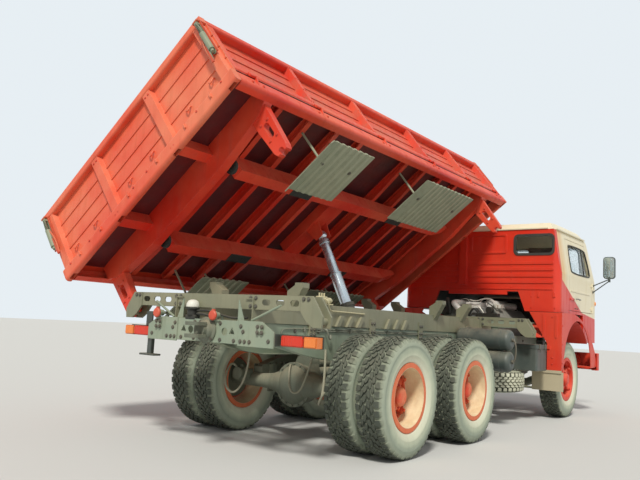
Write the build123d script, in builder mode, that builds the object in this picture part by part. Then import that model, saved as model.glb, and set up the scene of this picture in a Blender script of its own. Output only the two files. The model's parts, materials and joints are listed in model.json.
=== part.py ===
from build123d import *
from math import atan2, cos, degrees, hypot, radians, sin
import os

os.makedirs("parts", exist_ok=True)

# A three-axle tipper lorry with its load bed tipped to the left, as it stands in the photograph.
# Everything is drawn on the lorry's own axes: x = 0 at the rearmost axle and forward is +X,
# y = 0 on the centreline and left is +Y, z = 0 on the ground. The bed is drawn lying flat.
# Each piece is moved home as it is handed in, by ON_LORRY or, for the bed, by ON_TIPPED_BED.

# Row origin: the middle of the whole outline on the ground
ROW_X = -2128.5
ROW_Y = -249.0

# Axles and wheels
AXLE_MID = 1320.0
AXLE_FRONT = 4510.0
TYRE_R = 509.0
TYRE_SIDE = 132.0
BEAD_R = 262.0
BARREL_R = 246.0
FLANGE_R = 290.0
RIM_HALF = 109.0
DUAL_HALF = 155.0
REAR_TRACK_HALF = 928.0
FRONT_TRACK_HALF = 1013.0
SPINDLE_R = 45.0
RUNNING_GAP = 0.3

# Steering
KINGPIN_Y = 860.0
KINGPIN_R = 20.0
ARM_BACK = 200.0
ARM_IN = 60.0
TIE_ROD_Z = 372.0

# Chassis frame
RAIL_Y = 430.0
RAIL_LOW = 760.0
RAIL_TOP = 1060.0
RAIL_FLANGE = 80.0
RAIL_WEB = 9.0
FRAME_REAR = -1190.0
FRAME_FRONT = 5690.0
SUB_INNER = 360.0
SUB_OUTER = 440.0
SUB_LOW = 1065.0
SUB_TOP = 1250.0

# Tipping gear
PIVOT_Y = 1060.0
PIVOT_Z = 1100.0
PIVOT_R = 25.0
TIP_AT_REST = 38.5
CYLINDER_X = 870.0
TRUNNION_Z = 1120.0
HEAD_Z = 1470.0

# Load bed, lying flat
BED_REAR = -1557.0
BED_FRONT = 3918.0
BED_HALF = 1250.0
BED_LOW = 1560.0
BED_FLOOR = 1710.0
BED_TOP = 2345.0
WALL = 68.0
BOARD_THICK = 90.0
BOARD_PIN_Y = 1262.0
BOARD_PIN_Z = 1700.0
CROSS_REAR_X = -1110.0
CROSS_FRONT_X = 3240.0

# Cab
CAB_BACK = 4020.0
CAB_FRONT = 5800.0
CAB_HALF = 1165.0
CAB_ROOF = 2650.0
CAB_EAVES = 2520.0
CAB_SILL = 1400.0
CAB_FOOT = 1010.0
CAB_CORNER = 90.0
SHELL = 40.0
DOOR_REAR = 4440.0
DOOR_FRONT = 5480.0
DOOR_TOP = 2440.0
BELT = 1930.0
HINGE_X = 5563.0
HINGE_Y = 1168.0
TILT_X = 5720.0
TILT_Z = 950.0

ON_LORRY = Location((ROW_X, ROW_Y, 0))
PIVOT = Location((0, PIVOT_Y, PIVOT_Z))
ON_TIPPED_BED = ON_LORRY * PIVOT * Location((0, 0, 0), (-TIP_AT_REST, 0, 0)) * PIVOT.inverse()


def hand_in(shape, name, home):
    """Puts one finished piece in its place, labels it and writes it."""
    placed = shape.moved(home)
    placed.label = name
    export_step(placed, f"parts/{name}.step")


def cross_plane(x):
    """The plane across the lorry at x, drawn in y and z and extruded forwards."""
    return Plane(origin=(x, 0, 0), x_dir=(0, 1, 0), z_dir=(1, 0, 0))


def side_plane(y, x=0.0, z=0.0):
    """The side view at y, drawn from x and z and extruded towards the right-hand side."""
    return Plane(origin=(x, y, z), x_dir=(1, 0, 0), z_dir=(0, -1, 0))


def box_between(low, high, mode=Mode.ADD):
    """A plain box from its lowest to its highest corner, in the part being built."""
    with Locations(tuple((a + b) / 2 for a, b in zip(low, high))):
        Box(*(b - a for a, b in zip(low, high)), mode=mode)


def rod(start, end, radius, mode=Mode.ADD):
    """A round bar from one point to another, in the part being built."""
    run = Vector(*end) - Vector(*start)
    with Locations(Plane(origin=start, z_dir=run).location):
        Cylinder(radius, run.length, align=(Align.CENTER, Align.CENTER, Align.MIN), mode=mode)


# Tyre, drawn about Y: straight beads inside the rim's flanges, bulging walls and a crowned tread
with BuildPart() as tyre_form:
    with BuildSketch(Plane.YZ):
        with BuildLine():
            Polyline((-97, FLANGE_R + 3), (-97, BEAD_R), (97, BEAD_R), (97, FLANGE_R + 3))
            ThreePointArc((97, FLANGE_R + 3), (TYRE_SIDE, 385), (114, 480))
            Line((114, 480), (106, 500))
            ThreePointArc((106, 500), (0, TYRE_R), (-106, 500))
            Line((-106, 500), (-114, 480))
            ThreePointArc((-114, 480), (-TYRE_SIDE, 385), (-97, FLANGE_R + 3))
        make_face()
    revolve(axis=Axis.Y)

# Barrel, drawn about Y: the bare rim with its two chamfered flanges
with BuildPart() as barrel_form:
    with BuildSketch(Plane.YZ):
        with BuildLine():
            Polyline((-RIM_HALF, FLANGE_R - 4), (4 - RIM_HALF, FLANGE_R), (-99, FLANGE_R), (-99, BEAD_R - 1),
                     (99, BEAD_R - 1), (99, FLANGE_R), (RIM_HALF - 4, FLANGE_R), (RIM_HALF, FLANGE_R - 4),
                     (RIM_HALF, BARREL_R), (-RIM_HALF, BARREL_R), close=True)
        make_face()
    revolve(axis=Axis.Y)

# Wheel kinds: middles of their tyres outwards from the track line, inner end of the brake drum,
# the drum's depth, middle of the spokes, outer end of the hub
SINGLE = ("", [0.0], -78.0, 88.0, 42.0, 128.0)
DUAL = ("s", [-DUAL_HALF, DUAL_HALF], -116.0, 110.0, 62.0, 205.0)

# Wheels: name, kind, axle x, side, half track
WHEELS = [
    ("front_left", SINGLE, AXLE_FRONT, 1, FRONT_TRACK_HALF),
    ("front_right", SINGLE, AXLE_FRONT, -1, FRONT_TRACK_HALF),
    ("mid_left", DUAL, AXLE_MID, 1, REAR_TRACK_HALF),
    ("mid_right", DUAL, AXLE_MID, -1, REAR_TRACK_HALF),
    ("rear_left", DUAL, 0.0, 1, REAR_TRACK_HALF),
    ("rear_right", DUAL, 0.0, -1, REAR_TRACK_HALF),
]

# Hub and wheel: five cast spokes taper out to the barrel, and a wedge under a nut grips it at each
SPOKES = 5
wheel_forms = {}
for plural, middles, drum_in, drum_deep, spoke_y, nose in (SINGLE, DUAL):
    with BuildPart() as spoke:
        with BuildSketch(Plane(origin=(96, spoke_y - 6, 0), x_dir=(0, 1, 0), z_dir=(1, 0, 0))):
            Rectangle(84, 76)
        with BuildSketch(Plane(origin=(222, spoke_y, 0), x_dir=(0, 1, 0), z_dir=(1, 0, 0))):
            Rectangle(36, 50)
        loft()
        box_between((216, spoke_y - 22, -36), (244.5, spoke_y + 22, 36))
        box_between((206, spoke_y + 16, -24), (243, spoke_y + 38, 24))
        with BuildSketch(Plane(origin=(222, spoke_y + 37, 0), x_dir=(1, 0, 0), z_dir=(0, 1, 0))):
            RegularPolygon(16, 6)
        extrude(amount=18)
    spokes = [spoke.part.rotate(Axis.Y, 360 / SPOKES * count) for count in range(SPOKES)]
    barrels = [barrel_form.part.moved(Location((0, middle, 0))) for middle in middles]
    with BuildPart() as wheel:
        with BuildSketch(Plane.YZ):
            with BuildLine():
                drum_out = drum_in + drum_deep
                Polyline((drum_in, 60), (drum_in, 205), (drum_out, 205), (drum_out + 15, 195),
                         (drum_out + 15, 122), (nose - 70, 112), (nose - 66, 84), (nose - 22, 78))
                ThreePointArc((nose - 22, 78), (nose - 6, 62), (nose, 40))
                Polyline((nose, 40), (nose, 0), (nose - 40, 0), (nose - 40, SPINDLE_R + RUNNING_GAP),
                         (drum_in, SPINDLE_R + RUNNING_GAP), (drum_in, 60))
            make_face()
            # The ledge that the wedges seat on, and the spacer band between twin rims
            with BuildLine():
                Polyline((spoke_y - 30, BARREL_R + 2), (spoke_y - 20, 236), (spoke_y + 12, 236),
                         (spoke_y + 28, BARREL_R + 2), close=True)
            make_face()
            if len(middles) == 2:
                with Locations((0, (BARREL_R + BEAD_R) / 2)):
                    Rectangle(2 * (DUAL_HALF - RIM_HALF) + 2, BEAD_R - BARREL_R - 2)
        revolve(axis=Axis.Y)
        add(barrels)
        add(spokes)
    wheel_forms[plural] = wheel.part

for name, (plural, middles, *_), axle_x, side, track_half in WHEELS:
    home = ON_LORRY * Location((axle_x, side * track_half, TYRE_R), (0, 0, 0 if side == 1 else 180))
    tyres = [tyre_form.part.moved(Location((0, middle, 0))) for middle in middles]
    with BuildPart() as tyre_set:
        add(tyres)
    hand_in(tyre_set.part, f"tyre{plural}_{name}", home)
    hand_in(wheel_forms[plural], f"rim{plural}_{name}", home)

# Knuckle: a fork with its kingpin round the axle beam's end, a flange, a spindle and a track arm
with BuildPart() as knuckle:
    with BuildSketch(Plane.XY.offset(400)):
        with Locations((AXLE_FRONT, KINGPIN_Y)):
            Circle(KINGPIN_R)
    extrude(amount=210)
    for ear_z in (400, 568):
        with BuildSketch(Plane.XY.offset(ear_z)):
            with Locations((AXLE_FRONT, KINGPIN_Y)):
                Circle(42)
            with Locations((AXLE_FRONT, KINGPIN_Y + 30)):
                Rectangle(84, 60)
        extrude(amount=42)
    with BuildSketch(side_plane(KINGPIN_Y + 68)):
        with Locations((AXLE_FRONT, TYRE_R)):
            Circle(112)
    extrude(amount=18)
    with BuildSketch(side_plane(KINGPIN_Y + 226)):
        with Locations((AXLE_FRONT, TYRE_R)):
            Circle(SPINDLE_R)
    extrude(amount=160)
    with BuildSketch(Plane.XY.offset(400)):
        with BuildLine():
            arm_x = AXLE_FRONT - ARM_BACK
            arm_y = KINGPIN_Y - ARM_IN
            Polyline((arm_x, arm_y + 22), (AXLE_FRONT - 20, KINGPIN_Y + 30),
                     (AXLE_FRONT - 20, KINGPIN_Y - 30),
                     (arm_x, arm_y - 22))
            ThreePointArc((arm_x, arm_y - 22), (arm_x - 22, arm_y), (arm_x, arm_y + 22))
        make_face()
    extrude(amount=26)
hand_in(knuckle.part, "knuckle_left", ON_LORRY)
hand_in(mirror(knuckle.part, about=Plane.XZ), "knuckle_right", ON_LORRY)

# Tie rod: one tube with an eye at each end, just under the two track arms
with BuildPart() as tie_rod:
    rod((arm_x, -arm_y, TIE_ROD_Z), (arm_x, arm_y, TIE_ROD_Z), 15)
    with Locations((arm_x, -arm_y, TIE_ROD_Z), (arm_x, arm_y, TIE_ROD_Z)):
        Cylinder(26, 34)
hand_in(tie_rod.part, "tie_rod", ON_LORRY)


def rail_outline(wall, over):
    """The rail's side view drawn in by its wall, run past its ends, with the raised tail."""
    Polyline((FRAME_REAR - over, 902 + wall), (FRAME_REAR - over, RAIL_TOP - wall),
             (FRAME_FRONT + over, RAIL_TOP - wall), (FRAME_FRONT + over, RAIL_LOW + wall),
             (-100, RAIL_LOW + wall), (-410, 798 + wall), (-870, 884 + wall), close=True)


# Chassis rails: pressed channels open inwards, their lower edge rising behind the last axle
with BuildPart() as rail:
    with BuildSketch(side_plane(RAIL_Y)):
        with BuildLine():
            rail_outline(0, 0)
        make_face()
    extrude(amount=RAIL_FLANGE)
    with BuildSketch(side_plane(RAIL_Y - RAIL_WEB)):
        with BuildLine():
            rail_outline(RAIL_WEB, 10)
        make_face()
    extrude(amount=RAIL_FLANGE, mode=Mode.SUBTRACT)
hand_in(rail.part, "frame_rail_left", ON_LORRY)
hand_in(mirror(rail.part, about=Plane.XZ), "frame_rail_right", ON_LORRY)

# Cross-members: x of the rear face, depth along x, lowest z, highest z, half width, hole radius
RAIL_INSIDE = RAIL_Y - RAIL_WEB
MEMBERS = [
    (-650.0, 70.0, 870.0, 1020.0, RAIL_INSIDE, 50.0),
    (560.0, 200.0, 800.0, 1000.0, RAIL_INSIDE, 60.0),
    (1900.0, 70.0, 800.0, 1020.0, RAIL_INSIDE, 60.0),
    (2850.0, 70.0, 800.0, 1020.0, RAIL_INSIDE, 60.0),
    (5560.0, 90.0, 780.0, 1040.0, RAIL_INSIDE, 70.0),
    (3740.0, 90.0, 1160.0, 1245.0, 900.0, 0.0),
]
PLATE_X = FRAME_REAR - 32
with BuildPart() as cross_members:
    # Pressed channels, open to the front, each web with three lightening holes
    for x, depth, low, high, half, hole in MEMBERS:
        box_between((x, -half, low), (x + depth, half, high))
        box_between((x + 8, -half - 1, low + 8), (x + depth + 1, half + 1, high - 8), Mode.SUBTRACT)
        if hole:
            with BuildSketch(cross_plane(x - 1)):
                with Locations((0, (low + high) / 2)):
                    with GridLocations(240, 1, 3, 1):
                        Circle(hole)
            extrude(amount=12, mode=Mode.SUBTRACT)
    # Posts that carry the cab's rear beam on the rails, and outriggers for the cab's tilt pins
    for side in (-1, 1):
        rail_in, rail_out = sorted((side * (RAIL_Y - RAIL_FLANGE), side * RAIL_Y))
        box_between((3752, rail_in, RAIL_TOP), (3818, rail_out, 1160))
        arm_in, arm_out = sorted((side * RAIL_Y, side * 531))
        box_between((5600, arm_in, 905), (5680, arm_out, 995))
        with BuildSketch(side_plane(side * 500 + 31)):
            with BuildLine():
                Polyline((5640, 920), (5720, 922))
                ThreePointArc((5720, 922), (5748, TILT_Z), (5720, 978))
                Polyline((5720, 978), (5640, 990), (5640, 920))
            make_face()
        extrude(amount=62)
        box_between((5682, side * 500 - 13, 900), (5760, side * 500 + 13, 1000), Mode.SUBTRACT)
        rod((TILT_X, side * 500 - 31, TILT_Z), (TILT_X, side * 500 + 31, TILT_Z), 15)
    # Rear cross-member: a cut-cornered plate, two lapped wings, bent edges, holes and bolted pads
    with BuildSketch(cross_plane(PLATE_X)):
        with BuildLine():
            Polyline((-710, 890), (-710, 1000), (-585, 1072), (585, 1072), (710, 1000),
                     (710, 890), close=True)
        make_face()
        with Locations((-192, 982), (192, 982)):
            Circle(30, mode=Mode.SUBTRACT)
        with Locations((-275, 984), (275, 984)):
            RegularPolygon(34, 3, rotation=90, mode=Mode.SUBTRACT)
    extrude(amount=10)
    for side in (-1, 1):
        with BuildSketch(cross_plane(PLATE_X - 7)):
            with BuildLine():
                Polyline((side * 347, 880), (side * 712, 880), (side * 712, 1002), (side * 587, 1075),
                         (side * 347, 1075), close=True)
            make_face()
        extrude(amount=7.5)
        gusset_in, gusset_out = sorted((side * 404, side * (RAIL_INSIDE - 0.5)))
        box_between((PLATE_X + 9, gusset_in, 925), (FRAME_REAR + 70, gusset_out, 1045))
        pad_in, pad_out = sorted((side * 548, side * 606))
        box_between((PLATE_X - 19, pad_in, 984), (PLATE_X - 6, pad_out, 1042))
    box_between((PLATE_X + 9, -585, 1064), (FRAME_REAR - 0.5, 585, 1072))
    box_between((PLATE_X + 9, -700, 890), (FRAME_REAR - 0.5, 700, 898))
hand_in(cross_members.part, "cross_members", ON_LORRY)

# Tow hitch: a flanged round housing on the rear cross-member, a shank and a jaw with an upright bore
HITCH_Z = 985.0
HITCH_BORE_X = FRAME_REAR - 182
with BuildPart() as housing_form:
    with BuildSketch(Plane.YZ):
        with BuildLine():
            Polyline((0, 0), (0, 105), (14, 105), (22, 82), (46, 74), (60, 58), (90, 58),
                     (90, 0), close=True)
        make_face()
    revolve(axis=Axis.Y)
housing = housing_form.part.moved(Location((PLATE_X, 0, HITCH_Z), (0, 0, 90)))
with BuildPart() as tow_hitch:
    add(housing)
    for jaw_z in (HITCH_Z - 62, HITCH_Z + 34):
        with BuildSketch(Plane.XY.offset(jaw_z)):
            with BuildLine():
                Line((PLATE_X - 60, 56), (PLATE_X - 60, -56))
                Line((PLATE_X - 60, -56), (HITCH_BORE_X, -66))
                ThreePointArc((HITCH_BORE_X, -66), (HITCH_BORE_X - 66, 0), (HITCH_BORE_X, 66))
                Line((HITCH_BORE_X, 66), (PLATE_X - 60, 56))
            make_face()
            with Locations((HITCH_BORE_X, 0)):
                Circle(24.5, mode=Mode.SUBTRACT)
        extrude(amount=28)
    box_between((PLATE_X - 90, -50, HITCH_Z - 60), (PLATE_X - 62, 50, HITCH_Z + 60))
hand_in(tow_hitch.part, "tow_hitch", ON_LORRY)

# Subframe: two channels on the rails, stools, cross-beams with the tipping pins, the cylinder's cradle
BEAM_Y = 500.0
with BuildPart() as subframe:
    box_between((-1180, SUB_INNER, SUB_LOW), (3500, SUB_OUTER, SUB_TOP))
    box_between((-1181, SUB_INNER - 1, SUB_LOW + 9), (3501, SUB_OUTER - 9, SUB_TOP - 9), Mode.SUBTRACT)
    # Brackets that tie the channels down to the rails
    for bracket_x in (-450.0, 520.0, 1500.0, 2700.0):
        box_between((bracket_x, RAIL_Y + 0.5, 950), (bracket_x + 90, SUB_OUTER + 9, SUB_LOW - 1))
        box_between((bracket_x, SUB_OUTER - 1, SUB_LOW - 2), (bracket_x + 90, SUB_OUTER + 9, SUB_LOW + 90))
    # Stools with a rubber pad under each long beam of the bed
    for stool_x in (-700.0, 1850.0, 2550.0):
        with BuildSketch(cross_plane(stool_x)):
            with BuildLine():
                Polyline((SUB_OUTER - 60, SUB_TOP - 2), (SUB_OUTER - 60, 1340),
                         (BEAM_Y - 42, 1390), (BEAM_Y - 42, 1411),
                         (BEAM_Y + 42, 1411), (BEAM_Y + 42, 1370), (SUB_OUTER, SUB_TOP - 60), close=True)
            make_face()
        extrude(amount=90)
    # Cross-beams: channels open to the front, with oval holes, a ledge and the pins at their ends
    for beam_x in (CROSS_REAR_X, CROSS_FRONT_X):
        box_between((beam_x - 55, 0, 1165), (beam_x + 55, 950, 1280))
        box_between((beam_x - 46, SUB_OUTER, 1174), (beam_x + 56, 900, 1271), Mode.SUBTRACT)
        with BuildSketch(cross_plane(beam_x - 56)):
            with Locations((560, 1222), (700, 1222), (840, 1222)):
                SlotOverall(84, 44)
        extrude(amount=20, mode=Mode.SUBTRACT)
        for cheek in (-62, 44):
            with BuildSketch(cross_plane(beam_x + cheek)):
                with BuildLine():
                    Polyline((900, 1280), (900, 1165), (960, 1090), (1020, 1050), (1100, 1050),
                             (1110, 1130), (1010, 1280), close=True)
                make_face()
            extrude(amount=18)
        rod((beam_x - 62, PIVOT_Y, PIVOT_Z), (beam_x + 62, PIVOT_Y, PIVOT_Z), PIVOT_R)
    # Cradle plates, deepened to a boss round each trunnion
    for cradle_x in (CYLINDER_X - 165, CYLINDER_X + 115):
        with BuildSketch(cross_plane(cradle_x)):
            with BuildLine():
                Polyline((0, 1060), (SUB_OUTER - 8, 1075), (SUB_OUTER - 8, 1175), (90, 1190),
                         (0, 1190), close=True)
            make_face()
        extrude(amount=50)
    mirror(about=Plane.XZ)
    for cradle_x in (CYLINDER_X - 165, CYLINDER_X + 115):
        rod((cradle_x - 1, 0, TRUNNION_Z), (cradle_x + 51, 0, TRUNNION_Z), 30 + RUNNING_GAP, Mode.SUBTRACT)
hand_in(subframe.part, "subframe", ON_LORRY)

# Cylinder: outer tube on two trunnion pins, a lower stage and an upper stage with its round head
TUBE_LOW = TRUNNION_Z - 345
TUBE_TOP = TRUNNION_Z + 200
# Where the head stands with the bed tipped, and from it the tube's lean and each stage's slide
turn = radians(TIP_AT_REST)
head_y = PIVOT_Y - PIVOT_Y * cos(turn) + (HEAD_Z - PIVOT_Z) * sin(turn)
head_z = PIVOT_Z + PIVOT_Y * sin(turn) + (HEAD_Z - PIVOT_Z) * cos(turn)
LEAN = degrees(atan2(head_y, head_z - TRUNNION_Z))
REST_SLIDE = (hypot(head_y, head_z - TRUNNION_Z) - (HEAD_Z - TRUNNION_Z)) / 2
TRUNNION = Location((CYLINDER_X, 0, TRUNNION_Z))
# Stages: name, radius and height of each step of the outside from the foot up, bore radius, bore's foot
STAGES = [
    ("cylinder_tube", [(78.0, TUBE_LOW), (75.0, TUBE_LOW + 22), (84.0, TUBE_TOP - 40), (84.0, TUBE_TOP)],
     61.0, TUBE_LOW + 10),
    ("cylinder_stage_lower", [(60.7, TUBE_LOW + 15), (66.0, TUBE_TOP + 8), (66.0, TUBE_TOP + 22)],
     50.0, TUBE_LOW + 15),
    ("cylinder_stage_upper", [(49.7, TUBE_LOW + 30), (62.0, TUBE_TOP + 44), (44.0, TUBE_TOP + 84),
                              (44.0, TUBE_TOP + 110)], 0.0, TUBE_LOW + 30),
]
for count, (name, steps, bore, bore_foot) in enumerate(STAGES):
    with BuildPart() as stage:
        for (radius, low), (_, high) in zip(steps, steps[1:]):
            rod((CYLINDER_X, 0, low), (CYLINDER_X, 0, high), radius)
        if bore:
            rod((CYLINDER_X, 0, bore_foot), (CYLINDER_X, 0, steps[-1][1] + 1), bore, Mode.SUBTRACT)
        if count == 0:
            rod((CYLINDER_X - 162, 0, TRUNNION_Z), (CYLINDER_X - 70, 0, TRUNNION_Z), 30)
            rod((CYLINDER_X + 70, 0, TRUNNION_Z), (CYLINDER_X + 162, 0, TRUNNION_Z), 30)
        if count == 2:
            with Locations((CYLINDER_X, 0, HEAD_Z)):
                Sphere(56)
    slid = Location((0, 0, count * REST_SLIDE))
    leaning = TRUNNION * Location((0, 0, 0), (-LEAN, 0, 0)) * TRUNNION.inverse()
    hand_in(stage.part, name, ON_LORRY * leaning * slid)

# Lamps: two stepped headlamps in the bumper, and two split tail lamps on folded brackets
HEADLAMP_Y = 830.0
HEADLAMP_Z = 735.0
with BuildPart() as lamps:
    for radius, lens_x in [(88, 5844), (78, 5853), (52, 5860)]:
        rod((5760, HEADLAMP_Y, HEADLAMP_Z), (lens_x, HEADLAMP_Y, HEADLAMP_Z), radius)
    box_between((-1184, 746, 902), (-1110, 955, 982))
    box_between((-1180, 961, 902), (-1110, 1076, 982))
    with BuildSketch(Plane.XY.offset(899)):
        with BuildLine():
            Polyline((PLATE_X + 10.2, 640), (PLATE_X + 10.2, 700), (-1112, 742), (-1112, 1084),
                     (-1102, 1084),
                     (-1102, 736), (PLATE_X + 18, 694), (PLATE_X + 18, 640), close=True)
        make_face()
    extrude(amount=90)
    mirror(about=Plane.XZ)
hand_in(lamps.part, "lamps", ON_LORRY)

# Front axle: a forged I-beam, dropped in the middle, with a bored boss for each kingpin
with BuildPart() as front_axle:
    with BuildSketch(cross_plane(AXLE_FRONT - 45)):
        with BuildLine():
            Polyline((0, 375), (580, 375), (740, 450), (KINGPIN_Y, 455), (KINGPIN_Y, 555), (720, 550),
                     (560, 475), (0, 475), close=True)
        make_face()
    extrude(amount=90)
    for pocket_x in (AXLE_FRONT - 46, AXLE_FRONT + 12):
        with BuildSketch(cross_plane(pocket_x)):
            with BuildLine():
                Polyline((-1, 391), (570, 391), (718, 462), (718, 533), (570, 459), (-1, 459), close=True)
            make_face()
        extrude(amount=34, mode=Mode.SUBTRACT)
    rod((AXLE_FRONT, KINGPIN_Y, 450), (AXLE_FRONT, KINGPIN_Y, 560), 44)
    rod((AXLE_FRONT, KINGPIN_Y, 440), (AXLE_FRONT, KINGPIN_Y, 570), KINGPIN_R + RUNNING_GAP, Mode.SUBTRACT)
    mirror(about=Plane.XZ)
hand_in(front_axle.part, "front_axle", ON_LORRY)

# Springs: middle x, top of the top leaf, half length, rise of the ends, y of the middle, leaf width
FRONT_SPRING = (AXLE_FRONT, 560.0, 800.0, 120.0, 390.0, 76.0)
REAR_SPRING = (AXLE_MID / 2, 765.0, 620.0, -110.0, 505.0, 90.0)
LEAF = 16.0
LEAVES = 5
BALANCE_X = AXLE_MID / 2
BALANCE_Z = 600.0

# Suspension: leaf packs with their clamps and hangers, balance brackets on a cross tube, torque rods
with BuildPart() as suspension:
    for x, z, half, rise, y, width in (FRONT_SPRING, REAR_SPRING):
        for leaf in range(LEAVES):
            reach = half * (1 - 0.16 * leaf)
            lift = rise * (reach / half) ** 2
            with BuildSketch(side_plane(y + width / 2, x, z - leaf * LEAF)):
                with BuildLine():
                    ThreePointArc((-reach, lift), (0, 0), (reach, lift))
                    Line((reach, lift), (reach, lift - LEAF))
                    ThreePointArc((reach, lift - LEAF), (0, -LEAF), (-reach, lift - LEAF))
                    Line((-reach, lift - LEAF), (-reach, lift))
                make_face()
            extrude(amount=width)
    # Front: spring seat on the beam, clamp plate, U-bolts, and a hanger under the rail at each end
    box_between((AXLE_FRONT - 70, 346, 475.5), (AXLE_FRONT + 70, 434, 486))
    box_between((AXLE_FRONT - 70, 342, 559), (AXLE_FRONT + 70, 438, 575))
    for bolt_x in (AXLE_FRONT - 56, AXLE_FRONT + 56):
        for bolt_y in (346, 434):
            rod((bolt_x, bolt_y, 440), (bolt_x, bolt_y, 592), 9)
    for hanger_x in (AXLE_FRONT - 790, AXLE_FRONT + 790):
        with BuildSketch(side_plane(426)):
            with BuildLine():
                Polyline((hanger_x + 80, RAIL_LOW - 0.5), (hanger_x - 80, RAIL_LOW - 0.5),
                         (hanger_x - 36, 672))
                ThreePointArc((hanger_x - 36, 672), (hanger_x, 640), (hanger_x + 36, 672))
                Line((hanger_x + 36, 672), (hanger_x + 80, RAIL_LOW - 0.5))
            make_face()
        extrude(amount=72)
    # Rear: a saddle over the balance tube, its bracket on the rail and the two lower torque rods
    with BuildSketch(side_plane(555)):
        with BuildLine():
            Polyline((BALANCE_X - 110, 782), (BALANCE_X - 110, 660), (BALANCE_X - 62, BALANCE_Z))
            ThreePointArc((BALANCE_X - 62, BALANCE_Z), (BALANCE_X, 538), (BALANCE_X + 62, BALANCE_Z))
            Polyline((BALANCE_X + 62, BALANCE_Z), (BALANCE_X + 110, 660), (BALANCE_X + 110, 782),
                     (BALANCE_X - 110, 782))
        make_face()
    extrude(amount=100)
    with BuildSketch(side_plane(456)):
        with BuildLine():
            Polyline((BALANCE_X - 190, 930), (BALANCE_X - 70, 570))
            ThreePointArc((BALANCE_X - 70, 570), (BALANCE_X, 520), (BALANCE_X + 70, 570))
            Polyline((BALANCE_X + 70, 570), (BALANCE_X + 190, 930), (BALANCE_X - 190, 930))
        make_face()
        with Locations((BALANCE_X, 820)):
            Circle(52, mode=Mode.SUBTRACT)
    extrude(amount=25.5)
    rod((BALANCE_X, 0, BALANCE_Z), (BALANCE_X, 562, BALANCE_Z), 50)
    box_between((BALANCE_X - 80, 380.5, 500), (BALANCE_X + 80, 400, 600))
    for end_x, way in [(120.0, -1), (AXLE_MID - 120.0, 1)]:
        rod((BALANCE_X + way * 55, 358, 525), (end_x, 358, 440), 19)
        for eye_x, eye_z in [(BALANCE_X + way * 55, 525), (end_x, 440)]:
            rod((eye_x, 336, eye_z), (eye_x, 380, eye_z), 32)
    mirror(about=Plane.XZ)
hand_in(suspension.part, "suspension", ON_LORRY)

# Driven axles: banjo housings with a domed cover and a gear case in front, brake plates and chambers
CASE_Z = 700.0
with BuildPart() as tandem_axles:
    for axle_x in (0.0, AXLE_MID):
        with BuildSketch(Plane(origin=(axle_x, 0, TYRE_R), x_dir=(0, 1, 0), z_dir=(1, 0, 0))):
            with BuildLine():
                Polyline((0, 0), (0, 150), (150, 128), (300, 78), (450, 66), (806, 66), (806, 0), (0, 0))
            make_face()
        revolve(axis=Axis((axle_x, 0, TYRE_R), (0, 1, 0)))
        with BuildSketch(side_plane(0, axle_x, TYRE_R)):
            with BuildLine():
                Line((-152, 0), (-150, 50))
                ThreePointArc((-150, 50), (-128, 128), (-72, 176))
                Polyline((-72, 176), (-72, 205), (-44, 205), (-44, 190), (110, 175), (110, 0), (-152, 0))
            make_face()
        revolve(axis=Axis((axle_x, 0, TYRE_R), (1, 0, 0)))
        # Gear case: from the round housing up to the shaft line, with a flange at its nose
        with BuildSketch(cross_plane(axle_x + 60)):
            with BuildLine():
                Polyline((0, 400), (140, 470), (150, 540), (88, CASE_Z))
                ThreePointArc((88, CASE_Z), (62, CASE_Z + 62), (0, CASE_Z + 88))
                Line((0, CASE_Z + 88), (0, 400))
            make_face()
        extrude(amount=130)
        rod((axle_x + 180, 0, CASE_Z), (axle_x + 240, 0, CASE_Z), 54)
        rod((axle_x + 228, 0, CASE_Z), (axle_x + 246, 0, CASE_Z), 70)
        # Brake side: back plate, spindle, chamber with its bracket, spring seat and torque-rod lug
        with BuildSketch(side_plane(807)):
            with Locations((axle_x, TYRE_R)):
                Circle(190)
        extrude(amount=7)
        rod((axle_x, 800, TYRE_R), (axle_x, 1050, TYRE_R), SPINDLE_R)
        rod((axle_x - 230, 570, TYRE_R + 60), (axle_x - 165, 570, TYRE_R + 60), 60)
        rod((axle_x - 166, 570, TYRE_R + 60), (axle_x - 100, 570, TYRE_R + 60), 52)
        box_between((axle_x - 105, 550, TYRE_R), (axle_x - 20, 590, TYRE_R + 100))
    for seat_x in (50.0, AXLE_MID - 50.0):
        box_between((seat_x - 55, 452, TYRE_R + 40), (seat_x + 55, 558, 638))
        for cheek_y in (448.0, 552.0):
            box_between((seat_x - 48, cheek_y, TYRE_R + 20), (seat_x + 48, cheek_y + 9, 660))
    for lug_x, way in [(120.0, -1), (AXLE_MID - 120.0, 1)]:
        lug_low, lug_high = sorted((lug_x - way * 36, lug_x + way * 90))
        box_between((lug_low, 380.5, 404), (lug_high, 400, 476))
    mirror(about=Plane.XZ)
    # Shaft between the two axles: the middle housing's rear flange to the rear one's nose
    rod((AXLE_MID - 130, 0, CASE_Z), (AXLE_MID + 70, 0, CASE_Z), 60)
    rod((AXLE_MID - 148, 0, CASE_Z), (AXLE_MID - 130, 0, CASE_Z), 70)
    rod((240, 0, CASE_Z), (AXLE_MID - 140, 0, CASE_Z), 38)
hand_in(tandem_axles.part, "tandem_axles", ON_LORRY)

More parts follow.
